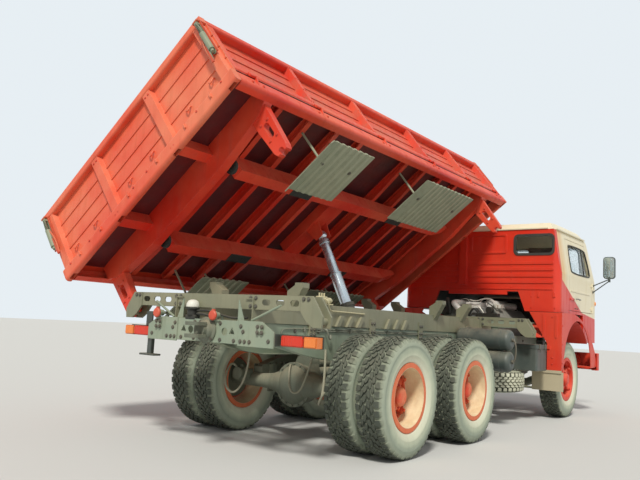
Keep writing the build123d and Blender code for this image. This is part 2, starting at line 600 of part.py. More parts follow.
# Driveline: ribbed gearbox with its bell housing, and the main propeller shaft with both joints
GEARBOX_X = 3080.0
with BuildPart() as driveline:
    with BuildSketch(cross_plane(GEARBOX_X)):
        with Locations((0, 820)):
            RectangleRounded(250, 260, 60)
    with BuildSketch(cross_plane(3560)):
        with Locations((0, 845)):
            RectangleRounded(340, 330, 70)
    loft()
    with BuildSketch(cross_plane(3559)):
        with Locations((0, 850)):
            Circle(165)
    with BuildSketch(cross_plane(3735)):
        with Locations((0, 850)):
            Circle(215)
    loft()
    rod((3735, 0, 850), (3840, 0, 850), 215)
    for rib_x in (3180.0, 3300.0, 3420.0):
        box_between((rib_x, -166, 800), (rib_x + 10, 166, 860))
    tail = (GEARBOX_X - 70, 0, 745)
    rod(tail, (GEARBOX_X + 10, 0, 745), 50)
    rod((GEARBOX_X - 80, 0, 745), (GEARBOX_X - 62, 0, 745), 66)
    nose = (AXLE_MID + 249, 0, CASE_Z)
    rod(nose, tail, 40)
    rod(nose, (AXLE_MID + 264, 0, CASE_Z), 70)
hand_in(driveline.part, "driveline", ON_LORRY)

# Engine: a plain block of the engine's size, narrow at the sump and wide at the two cylinder heads
ENGINE_X = 3841.0
with BuildPart() as engine_block:
    with BuildSketch(cross_plane(ENGINE_X)):
        with BuildLine():
            Polyline((-190, 640), (190, 640), (240, 760), (330, 1080), (420, 1300), (330, 1420),
                     (-330, 1420),
                     (-420, 1300), (-330, 1080), (-240, 760), close=True)
        make_face()
    extrude(amount=1050)
hand_in(engine_block.part, "engine_block", ON_LORRY)

# Engine dress: what shows under the cab's back wall, between the heads and the cross-beam
with BuildPart() as engine_dress:
    box_between((3900, -110, 1420.5), (4760, 110, 1500))
    for pipe_y in (-250, 250):
        rod((3880, pipe_y, 1480), (4780, pipe_y, 1480), 52)
        for foot_x in (3960.0, 4640.0):
            box_between((foot_x, pipe_y - 30, 1420.5), (foot_x + 60, pipe_y + 30, 1440))
    # Intake elbow from the left pipe down to the middle, and its flange
    with BuildLine():
        FilletPolyline((3890, 250, 1480), (3785, 250, 1480), (3785, 80, 1310), radius=44)
    with BuildSketch(Plane(origin=(3890, 250, 1480), z_dir=(-1, 0, 0))):
        Circle(42)
    sweep()
    rod((3785, 92, 1322), (3785, 74, 1304), 54)
    # Dark filter on the left head, box on the right one, and the cooler's round end
    rod((3762, 385, 1360), (ENGINE_X - 0.5, 385, 1360), 62)
    rod((3752, 385, 1360), (3763, 385, 1360), 50)
    box_between((3752, -420, 1255), (ENGINE_X - 0.5, -110, 1345))
    rod((3760, -290, 1390), (ENGINE_X - 0.5, -290, 1390), 46)
    box_between((3780, -330, 1340), (ENGINE_X - 0.5, -250, 1395))
hand_in(engine_dress.part, "engine_dress", ON_LORRY)

# Fuel tank: a rounded box on the left rail, held on two brackets by straps, with a filler neck
TANK_Y = 800.0
TANK_Z = 760.0
with BuildPart() as fuel_tank:
    with BuildSketch(cross_plane(2250)):
        with Locations((TANK_Y, TANK_Z)):
            RectangleRounded(620, 520, 90)
    extrude(amount=1100)
    for ring_x in (2250.0, 3338.0):
        with BuildSketch(cross_plane(ring_x)):
            with Locations((TANK_Y, TANK_Z)):
                RectangleRounded(632, 532, 96)
        extrude(amount=12)
    for strap_x in (2450, 3100):
        with BuildSketch(cross_plane(strap_x)):
            with Locations((TANK_Y, TANK_Z)):
                RectangleRounded(640, 540, 98)
        extrude(amount=60)
        with BuildSketch(cross_plane(strap_x + 5)):
            with BuildLine():
                Polyline((RAIL_Y + 0.5, 1020), (RAIL_Y + 0.5, 470), (TANK_Y + 180, 470), (TANK_Y + 180, 505),
                         (510, 505), (482, 620), (482, 1020), close=True)
            make_face()
        extrude(amount=50)
    rod((2380, TANK_Y + 120, 1015), (2380, TANK_Y + 150, 1060), 46)
    rod((2380, TANK_Y + 150, 1060), (2380, TANK_Y + 158, 1072), 56)
hand_in(fuel_tank.part, "fuel_tank", ON_LORRY)

# Air tanks: two dished cylinders, one above the other, across the right rail's outer side
with BuildPart() as air_tanks:
    for x, z in [(2500.0, 1010.0), (2500.0, 765.0)]:
        with BuildSketch(Plane(origin=(x, -450, z), x_dir=(0, -1, 0), z_dir=(1, 0, 0))):
            with BuildLine():
                Polyline((0, 0), (0, 60))
                ThreePointArc((0, 60), (18, 108), (52, 120))
                Line((52, 120), (608, 120))
                ThreePointArc((608, 120), (642, 108), (660, 60))
                Polyline((660, 60), (660, 0), (0, 0))
            make_face()
        revolve(axis=Axis((x, 0, z), (0, 1, 0)))
        for strap_y in (-960.0, -560.0):
            rod((x, strap_y, z), (x, strap_y - 40, z), 124)
    box_between((2470, -610, 740), (2530, -431, 1030))
    box_between((2480, -990, 870), (2520, -600, 905))
hand_in(air_tanks.part, "air_tanks", ON_LORRY)

# Battery box on the right rail: rounded corners, a lapped lid and two carriers
with BuildPart() as battery_box:
    with BuildSketch(Plane.XY.offset(640)):
        with Locations((3555, -918)):
            RectangleRounded(372, 358, 24)
    extrude(amount=300)
    with BuildSketch(Plane.XY.offset(915)):
        with Locations((3555, -918)):
            RectangleRounded(384, 370, 28)
    extrude(amount=50)
    for carrier_x in (3400.0, 3640.0):
        with BuildSketch(side_plane(-431)):
            with BuildLine():
                Polyline((carrier_x, 650), (carrier_x + 60, 650), (carrier_x + 60, 900), (carrier_x, 900),
                         close=True)
            make_face()
        extrude(amount=12)
        with BuildSketch(cross_plane(carrier_x + 20)):
            with BuildLine():
                Polyline((-431, 650), (-431, 820), (-745, 700), (-745, 650), close=True)
            make_face()
        extrude(amount=20)
hand_in(battery_box.part, "battery_box", ON_LORRY)

# Spare wheel: lying flat under the right rail, held up by a bar and a winch post
SPARE_X = 3300.0
SPARE_Y = -430.0
SPARE_Z = 495.0
LYING = Location((SPARE_X, SPARE_Y, SPARE_Z), (90, 0, 0))
hand_in(tyre_form.part.moved(LYING), "spare_tyre", ON_LORRY)

spare_barrel = barrel_form.part.moved(LYING)
with BuildPart() as spare_rim:
    add(spare_barrel)
    box_between((SPARE_X - 250, SPARE_Y - 30, 604), (SPARE_X + 250, SPARE_Y + 30, 620))
    rod((SPARE_X, SPARE_Y, 604), (SPARE_X, SPARE_Y, RAIL_LOW), 30)
    rod((SPARE_X, SPARE_Y, 612), (SPARE_X, SPARE_Y, 640), 70)
hand_in(spare_rim.part, "spare_rim", ON_LORRY)


def bumper_outline(inset):
    """The bumper's half plan, from the centre round its curved end, drawn in by its wall."""
    Line((5580, 0), (5870 - inset, 0))
    Line((5870 - inset, 0), (5870 - inset, 1000))
    ThreePointArc((5870 - inset, 1000), (5812 - inset * 0.7, 1168 - inset * 0.7), (5660, 1240 - inset))
    Polyline((5660, 1240 - inset), (5580, 1240 - inset), (5580, 0))


# Bumper: a deep hollow pressing with curved ends, lamp buckets and two arms to the frame
with BuildPart() as bumper:
    with BuildSketch(Plane.XY.offset(610)):
        with BuildLine():
            bumper_outline(0)
        make_face()
    extrude(amount=250)
    with BuildSketch(Plane.XY.offset(620)):
        with BuildLine():
            bumper_outline(12)
        make_face()
    extrude(amount=230, mode=Mode.SUBTRACT)
    box_between((5570, -1, 600), (5790, 1160, 870), Mode.SUBTRACT)
    box_between((FRAME_FRONT + 0.5, RAIL_Y - RAIL_FLANGE, 770), (5860, RAIL_Y, 840))
    rod((5745, HEADLAMP_Y, HEADLAMP_Z), (5862, HEADLAMP_Y, HEADLAMP_Z), 104)
    rod((5759.5, HEADLAMP_Y, HEADLAMP_Z), (5880, HEADLAMP_Y, HEADLAMP_Z), 90, Mode.SUBTRACT)
    # Two long air slots below the middle
    with BuildSketch(cross_plane(5840)):
        with Locations((250, 680), (250, 740)):
            SlotOverall(420, 30)
    extrude(amount=40, mode=Mode.SUBTRACT)
    mirror(about=Plane.XZ)
hand_in(bumper.part, "bumper", ON_LORRY)

# Front mudguards: a curved liner over each wheel, a skirt round the arch, a rear plate and its flap
LINER_R = 790.0
LINER_FRONT_X = 5125.0
GUARD_X = 3938.0


def liner_height(x, radius):
    """Height of the liner's arc, centred on the wheel, above a place along the lorry."""
    return TYRE_R + (radius ** 2 - (x - AXLE_FRONT) ** 2) ** 0.5


with BuildPart() as front_mudguards:
    with BuildSketch(side_plane(1216)):
        with BuildLine():
            ThreePointArc((GUARD_X + 8, liner_height(GUARD_X + 8, LINER_R)), (AXLE_FRONT, TYRE_R + LINER_R),
                          (LINER_FRONT_X, liner_height(LINER_FRONT_X, LINER_R)))
            Line((LINER_FRONT_X, liner_height(LINER_FRONT_X, LINER_R)),
                 (LINER_FRONT_X, liner_height(LINER_FRONT_X, LINER_R - 6)))
            ThreePointArc((LINER_FRONT_X, liner_height(LINER_FRONT_X, LINER_R - 6)),
                          (AXLE_FRONT, TYRE_R + LINER_R - 6),
                          (GUARD_X + 8, liner_height(GUARD_X + 8, LINER_R - 6)))
            Line((GUARD_X + 8, liner_height(GUARD_X + 8, LINER_R - 6)),
                 (GUARD_X + 8, liner_height(GUARD_X + 8, LINER_R)))
        make_face()
    extrude(amount=476)
    # Skirt: its inner edge is the arch's opening, its outer edge runs down to the step
    with BuildSketch(side_plane(1224)):
        with BuildLine():
            Polyline((GUARD_X, 690), (GUARD_X, 1392), (4270, 1397))
            ThreePointArc((4270, 1397), (4985, 1262), (5506, 882))
            Polyline((5506, 882), (5628, 672), (5291, 648))
            ThreePointArc((5291, 648), (4700, 1303), (4030, 690))
            Line((4030, 690), (GUARD_X, 690))
        make_face()
    extrude(amount=9)
    # Step below the door's front edge
    box_between((5296, 1000, 650), (5560, 1216, 672))
    box_between((5552, 1000, 650), (5560, 1216, 860))
    # Rear plate with two pressed ribs, its arm, the flap's bar and the flap
    with BuildSketch(cross_plane(GUARD_X)):
        with BuildLine():
            Polyline((838, 604), (1224, 604), (1224, 1392), (790, 1392), (1033, 984),
                     (1033, 640), (838, 640),
                     close=True)
        make_face()
    extrude(amount=8)
    for rib_y in (985.0, 1150.0):
        with BuildSketch(cross_plane(GUARD_X - 9)):
            with Locations((rib_y, 1210)):
                SlotOverall(300, 30, rotation=90)
        extrude(amount=10)
    box_between((GUARD_X - 14, 431, 910), (GUARD_X + 1, 1070, 960))
    box_between((GUARD_X - 9, 842, 376), (GUARD_X + 1, 1250, 622))
    box_between((GUARD_X - 22, 838, 604), (GUARD_X - 8, 1224, 640))
    mirror(about=Plane.XZ)
hand_in(front_mudguards.part, "front_mudguards", ON_LORRY)

# Cab: the side outline crossed with the front outline and the plan, hollowed to the wall's thickness
side_outline = [(CAB_BACK, CAB_SILL), (CAB_BACK, CAB_EAVES), (CAB_BACK + 50, CAB_ROOF - 40), (4600, CAB_ROOF),
                (5320, CAB_ROOF), (5520, CAB_EAVES - 40), (5740, 1760), (CAB_FRONT, 1640),
                (CAB_FRONT - 10, CAB_FOOT), (5140, CAB_FOOT), (5100, CAB_SILL)]
front_outline = [(-CAB_HALF, CAB_FOOT), (-CAB_HALF, BELT), (-CAB_HALF + 85, CAB_EAVES),
                 (-CAB_HALF + 180, CAB_ROOF), (CAB_HALF - 180, CAB_ROOF), (CAB_HALF - 85, CAB_EAVES),
                 (CAB_HALF, BELT), (CAB_HALF, CAB_FOOT)]


def cab_form(inset):
    """The cab's outer form with its rounded edges, drawn in by an even inset."""
    with BuildPart() as form:
        with BuildSketch(side_plane(CAB_HALF)) as side_face:
            with BuildLine():
                Polyline(*side_outline, close=True)
            make_face()
            if inset:
                offset(amount=-inset, kind=Kind.INTERSECTION, mode=Mode.REPLACE)
            brow = side_face.vertices().filter_by_position(Axis.Y, CAB_EAVES - 110, CAB_ROOF + 10)
            fillet(brow.filter_by_position(Axis.X, 5250, 5600), CAB_CORNER - inset)
        extrude(amount=2 * CAB_HALF)
        with BuildSketch(cross_plane(CAB_BACK - 10)) as front_face:
            with BuildLine():
                Polyline(*front_outline, close=True)
            make_face()
            if inset:
                offset(amount=-inset, kind=Kind.INTERSECTION, mode=Mode.REPLACE)
            eaves = front_face.vertices().filter_by_position(Axis.Y, CAB_EAVES - 60, CAB_ROOF + 10)
            fillet(eaves, CAB_CORNER - inset)
        extrude(amount=CAB_FRONT - CAB_BACK + 20, mode=Mode.INTERSECT)
        with BuildSketch(Plane.XY.offset(CAB_FOOT - 10)):
            with Locations(((CAB_BACK + CAB_FRONT) / 2, 0)):
                RectangleRounded(CAB_FRONT - CAB_BACK - 2 * inset, 2 * (CAB_HALF - inset), CAB_CORNER - inset)
        extrude(amount=CAB_ROOF - CAB_FOOT + 20, mode=Mode.INTERSECT)
    return form.part


outer_form = cab_form(0)
inner_form = cab_form(SHELL)
door_outline = [(DOOR_REAR, CAB_SILL + 40), (DOOR_REAR, DOOR_TOP), (5380, DOOR_TOP), (DOOR_FRONT + 80, BELT),
                (DOOR_FRONT + 80, CAB_SILL + 40)]
window_outline = [(DOOR_REAR + 90, BELT + 40), (DOOR_REAR + 90, DOOR_TOP - 70), (5350, DOOR_TOP - 70),
                  (DOOR_FRONT, BELT + 40)]
DOOR_PLANE = side_plane(1400)
BACK_PLANE = cross_plane(CAB_BACK - 20)
BACK_WINDOW_Y = 810.0
BACK_WINDOW_Z = 2310.0
HINGE_ZS = (1500.0, 1850.0)

with BuildPart() as cab_shell:
    add(outer_form)
    add(inner_form, mode=Mode.SUBTRACT)
    # The roof is a piece of its own; the doors hang in their openings
    with BuildSketch(Plane.XY.offset(CAB_EAVES)):
        with Locations((4900, 0)):
            Rectangle(2200, 2600)
    extrude(amount=300, mode=Mode.SUBTRACT)
    with BuildSketch(DOOR_PLANE):
        with BuildLine():
            Polyline(*door_outline, close=True)
        make_face()
    extrude(amount=2800, mode=Mode.SUBTRACT)
    # Openings of the back windows and of the windscreen, and the arch over the engine
    with BuildSketch(BACK_PLANE):
        with Locations((-BACK_WINDOW_Y, BACK_WINDOW_Z), (BACK_WINDOW_Y, BACK_WINDOW_Z)):
            RectangleRounded(550, 280, 60)
        with BuildLine():
            Polyline((-700, CAB_SILL - 10), (-600, 1665), (-440, 1665), (-440, 1620),
                     (440, 1620), (440, 1665),
                     (600, 1665), (700, CAB_SILL - 10), close=True)
        make_face()
    extrude(amount=80, mode=Mode.SUBTRACT)
    with BuildSketch(cross_plane(5300)):
        with Locations((0, 2130)):
            RectangleRounded(1960, 610, 80)
    extrude(amount=600, mode=Mode.SUBTRACT)
    # The open floor
    with BuildSketch(Plane.XY.offset(CAB_FOOT - 10)):
        with Locations((4900, 0)):
            Rectangle(2 * (CAB_FRONT - 4900 - SHELL), 2 * (CAB_HALF - SHELL))
    extrude(amount=CAB_SILL - CAB_FOOT + 10 + SHELL, mode=Mode.SUBTRACT)
    # Grille: rows of slots through the front wall, between two lamps' width
    with BuildSketch(cross_plane(5700)):
        for row in range(6):
            with Locations((-420, 1190 + 62 * row), (420, 1190 + 62 * row)):
                SlotOverall(780, 34)
    extrude(amount=150, mode=Mode.SUBTRACT)
    # Back wall: long pressed ribs, a framed panel, the air duct and the seam below it
    with BuildSketch(cross_plane(CAB_BACK - 10)):
        for rib_z in (1800.0, 1887.0, 1973.0, 2060.0):
            with Locations((-474, rib_z)):
                SlotOverall(1215, 40)
            with Locations((690, rib_z)):
                SlotOverall(760, 40)
        with Locations((-160, 2335)):
            RectangleRounded(543, 279, 40)
            RectangleRounded(485, 221, 30, mode=Mode.SUBTRACT)
        with Locations((-882, 1628), (-1085, 1628), (882, 1628), (1085, 1628)):
            RectangleRounded(28, 70, 12)
    extrude(amount=14)
    box_between((CAB_BACK - 8, -1070, 1694), (CAB_BACK + 2, 1070, 1716))
    box_between((CAB_BACK - 44, 160, 1750), (CAB_BACK + 2, 264, 2480))
    # Door hinges: two fixed leaves round each pin, let into the pillar
    for side in (-1, 1):
        for hinge_z in HINGE_ZS:
            rod((HINGE_X, side * HINGE_Y, hinge_z - 16), (HINGE_X, side * HINGE_Y, hinge_z + 16), 19, Mode.SUBTRACT)
            for low, high in [(hinge_z - 44, hinge_z - 16), (hinge_z + 16, hinge_z + 44)]:
                rod((HINGE_X, side * HINGE_Y, low), (HINGE_X, side * HINGE_Y, high), 12)
            rod((HINGE_X, side * HINGE_Y, hinge_z - 17), (HINGE_X, side * HINGE_Y, hinge_z + 17), 8)
    # Lugs on the tilt pins, hung from the front wall
    for side in (-1, 1):
        with BuildSketch(side_plane(side * 500 + 10)):
            with BuildLine():
                Polyline((5770, 1090), (5736, 1090), (5696, TILT_Z + 12))
                ThreePointArc((5696, TILT_Z + 12), (TILT_X, TILT_Z - 27), (5745, TILT_Z + 10))
                Line((5745, TILT_Z + 10), (5770, 1090))
            make_face()
            with Locations((TILT_X, TILT_Z)):
                Circle(15.2, mode=Mode.SUBTRACT)
        extrude(amount=20)
hand_in(cab_shell.part, "cab_shell", ON_LORRY)

# Roof: the top of the same form, with the gutter round it and two stiffening swages
with BuildPart() as cab_roof:
    add(outer_form)
    add(inner_form, mode=Mode.SUBTRACT)
    with BuildSketch(Plane.XY.offset(CAB_EAVES)):
        with Locations((4900, 0)):
            Rectangle(2200, 2600)
    extrude(amount=300, mode=Mode.INTERSECT)
    for side in (-1, 1):
        gutter_in, gutter_out = sorted((side * 1055, side * 1098))
        box_between((4110, gutter_in, CAB_EAVES + 4), (5400, gutter_out, CAB_EAVES + 20))
    box_between((CAB_BACK - 14, -1000, CAB_EAVES + 4), (CAB_BACK + 20, 1000, CAB_EAVES + 20))
    for swage_y in (-420.0, 0.0, 420.0):
        box_between((4640, swage_y - 45, CAB_ROOF - 2), (5260, swage_y + 45, CAB_ROOF + 7))
hand_in(cab_roof.part, "cab_roof", ON_LORRY)

# Cab floor: a low floor each side of the engine's hump
with BuildPart() as cab_floor:
    with BuildSketch(cross_plane(CAB_BACK + SHELL)):
        with BuildLine():
            half = CAB_HALF - SHELL - 1
            Polyline((-half, CAB_SILL), (-705, CAB_SILL), (-605, 1670), (605, 1670),
                     (705, CAB_SILL), (half, CAB_SILL),
                     (half, CAB_SILL + 20), (725, CAB_SILL + 20), (622, 1690), (-622, 1690),
                     (-725, CAB_SILL + 20), (-half, CAB_SILL + 20), close=True)
        make_face()
    extrude(amount=CAB_FRONT - CAB_BACK - 2 * SHELL - 70)
hand_in(cab_floor.part, "cab_floor", ON_LORRY)

# Cab glass: windscreen and the two back windows
with BuildPart() as cab_glass:
    with BuildSketch(cross_plane(CAB_BACK + 15)):
        with Locations((-BACK_WINDOW_Y, BACK_WINDOW_Z), (BACK_WINDOW_Y, BACK_WINDOW_Z)):
            RectangleRounded(549, 279, 59.5)
    extrude(amount=8)
    with BuildSketch(cross_plane(5300)):
        with Locations((0, 2130)):
            RectangleRounded(1958, 608, 79)
    extrude(amount=500)
    with BuildSketch(side_plane(1200)):
        with BuildLine():
            Polyline((4000, 1700), (5747, 1700), (5481, 2580), (4000, 2580), close=True)
        make_face()
        with BuildLine():
            Polyline((4100, 1700), (5737, 1700), (5471, 2580), (4100, 2580), close=True)
        make_face(mode=Mode.SUBTRACT)
    extrude(amount=2400, mode=Mode.INTERSECT)
hand_in(cab_glass.part, "cab_glass", ON_LORRY)

# Cab interior: two seats on boxes, the dashboard and the steering wheel on its raked column
SEAT_Y = 850.0
with BuildPart() as cab_interior:
    box_between((4300, 740, CAB_SILL + 20), (4720, 1040, 1700))
    with BuildSketch(side_plane(SEAT_Y + 200)):
        with BuildLine():
            Polyline((4240, 1700), (4760, 1690))
            ThreePointArc((4760, 1690), (4800, 1760), (4760, 1832))
            Line((4760, 1832), (4340, 1800))
            Line((4340, 1800), (4268, 2340))
            ThreePointArc((4268, 2340), (4218, 2385), (4172, 2335))
            Line((4172, 2335), (4240, 1700))
        make_face()
    extrude(amount=400)
    mirror(about=Plane.XZ)
    # Dashboard across the cab with its hood and centre panel
    with BuildSketch(side_plane(1080)):
        with BuildLine():
            Polyline((5640, 1720), (5400, 1720), (5360, 1760))
            ThreePointArc((5360, 1760), (5372, 1818), (5440, 1832))
            Polyline((5440, 1832), (5640, 1824), (5640, 1720))
        make_face()
    extrude(amount=2160)
    box_between((5560, -560, CAB_SILL + 295), (5640, 560, 1725))
    with BuildSketch(side_plane(1010)):
        with BuildLine():
            Polyline((5380, 1800), (5400, 1880), (5560, 1850), (5560, 1800), close=True)
        make_face()
    extrude(amount=420)
    wheel_plane = Plane(origin=(5130, 800, 1960), x_dir=(0, 1, 0), z_dir=(-0.42, 0, 0.9))
    with BuildSketch(wheel_plane):
        Circle(225)
        Circle(200, mode=Mode.SUBTRACT)
        Rectangle(404, 34)
        Circle(46)
    extrude(amount=22)
    with BuildSketch(wheel_plane):
        Circle(26)
    extrude(amount=-560)
hand_in(cab_interior.part, "cab_interior", ON_LORRY)

# Door: one thickness of the cab's side wall with the window cut, hung on the front pillar
with BuildPart() as door:
    add(outer_form)
    add(inner_form, mode=Mode.SUBTRACT)
    with BuildSketch(DOOR_PLANE):
        with BuildLine():
            Polyline(*door_outline, close=True)
        make_face()
        offset(amount=-6, kind=Kind.INTERSECTION, mode=Mode.REPLACE)
    extrude(amount=2800, mode=Mode.INTERSECT)
    with BuildSketch(DOOR_PLANE):
        with BuildLine():
            Polyline(*window_outline, close=True)
        make_face()
        fillet(vertices(), 50)
    extrude(amount=2800, mode=Mode.SUBTRACT)
    split(bisect_by=Plane(origin=(0, 1000, 0), z_dir=(0, 1, 0)), keep=Keep.TOP)
    # Handle, the lower swage, and a strap with its eye on each hinge
    with BuildSketch(side_plane(CAB_HALF + 14)):
        with Locations((4560, 1605)):
            SlotOverall(150, 30)
    extrude(amount=15)
    with BuildSketch(side_plane(CAB_HALF + 5)):
        with Locations((4990, 1720)):
            SlotOverall(940, 26)
    extrude(amount=6)
    for hinge_z in HINGE_ZS:
        for low, high in [(hinge_z - 45, hinge_z - 15.5), (hinge_z + 15.5, hinge_z + 45)]:
            rod((HINGE_X, HINGE_Y, low), (HINGE_X, HINGE_Y, high), 15, Mode.SUBTRACT)
        box_between((5470, CAB_HALF - 1, hinge_z - 14), (HINGE_X - 6, HINGE_Y + 4, hinge_z + 14))
        rod((HINGE_X, HINGE_Y, hinge_z - 14), (HINGE_X, HINGE_Y, hinge_z + 14), 13)
        rod((HINGE_X, HINGE_Y, hinge_z - 15), (HINGE_X, HINGE_Y, hinge_z + 15), 8.1, Mode.SUBTRACT)

with BuildPart() as door_glass:
    with BuildSketch(cross_plane(DOOR_REAR + 90)):
        with BuildLine():
            lean = 85.0 / (CAB_EAVES - BELT)
            bottom = CAB_HALF - 16 - lean * 40
            top = CAB_HALF - 16 - lean * (DOOR_TOP - 70 - BELT)
            Polyline((bottom, BELT + 40), (bottom - 7, BELT + 40), (top - 7, DOOR_TOP - 70),
                     (top, DOOR_TOP - 70), close=True)
        make_face()
    extrude(amount=960)
    with BuildSketch(DOOR_PLANE):
        with BuildLine():
            Polyline(*window_outline, close=True)
        make_face()
        fillet(vertices(), 50)
    extrude(amount=2800, mode=Mode.INTERSECT)

for name, piece in [("door", door.part), ("door_glass", door_glass.part)]:
    hand_in(piece, name + "_left", ON_LORRY)
    hand_in(mirror(piece, about=Plane.XZ), name + "_right", ON_LORRY)

# Mirrors: rounded heads, each on two tubes that run out from the front pillar
MIRROR_Y = 1400.0
with BuildPart() as mirrors:
    with BuildSketch(cross_plane(5600)):
        with Locations((MIRROR_Y, 2140)):
            RectangleRounded(170, 330, 45)
    extrude(amount=34)
    box_between((5594, MIRROR_Y - 14, 1925), (5630, MIRROR_Y + 14, 2000))
    for tube_x, base_z, knee_z in [(5603.0, 1770.0, 1940.0), (5621.0, 1870.0, 1970.0)]:
        rod((tube_x, 1166, base_z), (tube_x, 1176, base_z), 18)
        rod((tube_x, 1173, base_z), (tube_x, MIRROR_Y, knee_z), 8)
    mirror(about=Plane.XZ)
hand_in(mirrors.part, "mirrors", ON_LORRY)

# Bed floor plate
with BuildPart() as bed_floor:
    box_between((BED_REAR + WALL, -BED_HALF + 4, BED_FLOOR - 8), (BED_FRONT - WALL, BED_HALF - 4, BED_FLOOR))
hand_in(bed_floor.part, "bed_floor", ON_TIPPED_BED)

# Bed frame: side channels, tapered ribs, two long beams, cross-beams with pivot saddles
RIB_XS = [-850.0, -430.0, -10.0, 410.0, 1330.0, 1750.0, 2170.0, 2590.0, 3010.0, 3520.0]
BEAM_HALF = 55.0
BEAM_LOW = 1420.0
BEAM_TOP = 1602.0
UNDER_FLOOR = BED_FLOOR - 8.5
HINGE_XS = [-1300.0, -420.0, 680.0, 1790.0, 2800.0, 3650.0]
with BuildPart() as bed_frame:
    # Side channel with its rounded outer edge, open inwards
    with BuildSketch(cross_plane(BED_REAR + WALL)):
        with BuildLine():
            Line((1165, BED_LOW), (1215, BED_LOW))
            ThreePointArc((1215, BED_LOW), (1240, BED_LOW + 11), (BED_HALF, BED_LOW + 35))
            Polyline((BED_HALF, BED_LOW + 35), (BED_HALF, 1672), (1236, 1685), (1236, UNDER_FLOOR),
                     (1165, UNDER_FLOOR), (1165, 1694), (1227, 1694), (1241, 1668), (1241, BED_LOW + 37))
            ThreePointArc((1241, BED_LOW + 37), (1233, BED_LOW + 18), (1213, BED_LOW + 9))
            Polyline((1213, BED_LOW + 9), (1165, BED_LOW + 9), (1165, BED_LOW))
        make_face()
    extrude(amount=BED_FRONT - BED_REAR - 2 * WALL)
    # Long beam with a tapered front end and a round rubber face behind
    with BuildSketch(side_plane(BEAM_Y + BEAM_HALF)):
        with BuildLine():
            Polyline((-950, BEAM_LOW), (2700, BEAM_LOW), (3150, BEAM_TOP - 60), (3150, BEAM_TOP),
                     (-950, BEAM_TOP), close=True)
        make_face()
    extrude(amount=2 * BEAM_HALF)
    rod((-975, BEAM_Y, 1500), (-949, BEAM_Y, 1500), 60)
    # Stub beam between the end wall and the rear cross-beam
    box_between((BED_REAR + WALL + 0.5, 400, 1590), (CROSS_REAR_X - 49, 500, UNDER_FLOOR))
    # Ribs: pressed channels, tapered outboard of the long beams, open to the rear
    for x in RIB_XS:
        with BuildSketch(cross_plane(x - 30)):
            with BuildLine():
                Polyline((0, UNDER_FLOOR), (0, 1601), (600, 1601), (1172, 1640),
                         (1172, UNDER_FLOOR), close=True)
            make_face()
        extrude(amount=60)
        with BuildSketch(cross_plane(x - 31)):
            with BuildLine():
                Polyline((-1, UNDER_FLOOR - 7), (-1, 1608), (600, 1608), (1158, 1647),
                         (1158, UNDER_FLOOR - 7),
                         close=True)
            make_face()
        extrude(amount=54, mode=Mode.SUBTRACT)
    # Cross-beams: deep channels open to the front, a saddle plate over each tipping pin
    for x in (CROSS_REAR_X, CROSS_FRONT_X):
        with BuildSketch(cross_plane(x - 50)):
            with BuildLine():
                Polyline((0, UNDER_FLOOR), (0, 1440), (500, 1440), (1060, 1500), (1172, 1560),
                         (1172, UNDER_FLOOR), close=True)
            make_face()
        extrude(amount=100)
        with BuildSketch(cross_plane(x - 42)):
            with BuildLine():
                Polyline((-1, UNDER_FLOOR - 8), (-1, 1448), (498, 1448), (950, 1497), (950, UNDER_FLOOR - 8),
                         close=True)
            make_face()
        extrude(amount=93, mode=Mode.SUBTRACT)
        with BuildSketch(cross_plane(x - 34)):
            with BuildLine():
                Polyline((1000, 1520), (1150, 1560), (1125, PIVOT_Z + 20), (1112, PIVOT_Z - 20),
                         (1008, PIVOT_Z - 20), (990, PIVOT_Z + 20), (960, 1480), close=True)
            make_face()
            with Locations((PIVOT_Y, PIVOT_Z)):
                Circle(PIVOT_R + 1, mode=Mode.SUBTRACT)
            with Locations((PIVOT_Y, PIVOT_Z - 20)):
                Rectangle(2 * PIVOT_R + 2, 40, mode=Mode.SUBTRACT)
            with Locations((PIVOT_Y, 1330)):
                SlotOverall(150, 56, rotation=90, mode=Mode.SUBTRACT)
        extrude(amount=68)
    # Loops that hold the side boards' hinge pins
    for x in HINGE_XS:
        with BuildSketch(cross_plane(x + 32)):
            with BuildLine():
                Polyline((1245, 1610), (1250, 1610), (1274, 1696), (1250, 1704), (1245, 1670), close=True)
            make_face()
            with Locations((BOARD_PIN_Y, BOARD_PIN_Z)):
                Circle(12.5)
        extrude(amount=14)
    # Head bracket of the cylinder on its cross plate
    for ear in (-84, 66):
        with BuildSketch(cross_plane(CYLINDER_X + ear)):
            with BuildLine():
                Polyline((0, 1430), (52, 1430), (66, 1500), (110, 1640), (0, 1640), close=True)
            make_face()
        extrude(amount=18)
    box_between((CYLINDER_X - 130, -1, 1590), (CYLINDER_X + 130, 446, 1606))
    for rib_x in (CYLINDER_X - 130, CYLINDER_X + 112):
        box_between((rib_x, -1, 1600), (rib_x + 18, 446, UNDER_FLOOR))
    mirror(about=Plane.XZ)
hand_in(bed_frame.part, "bed_frame", ON_TIPPED_BED)

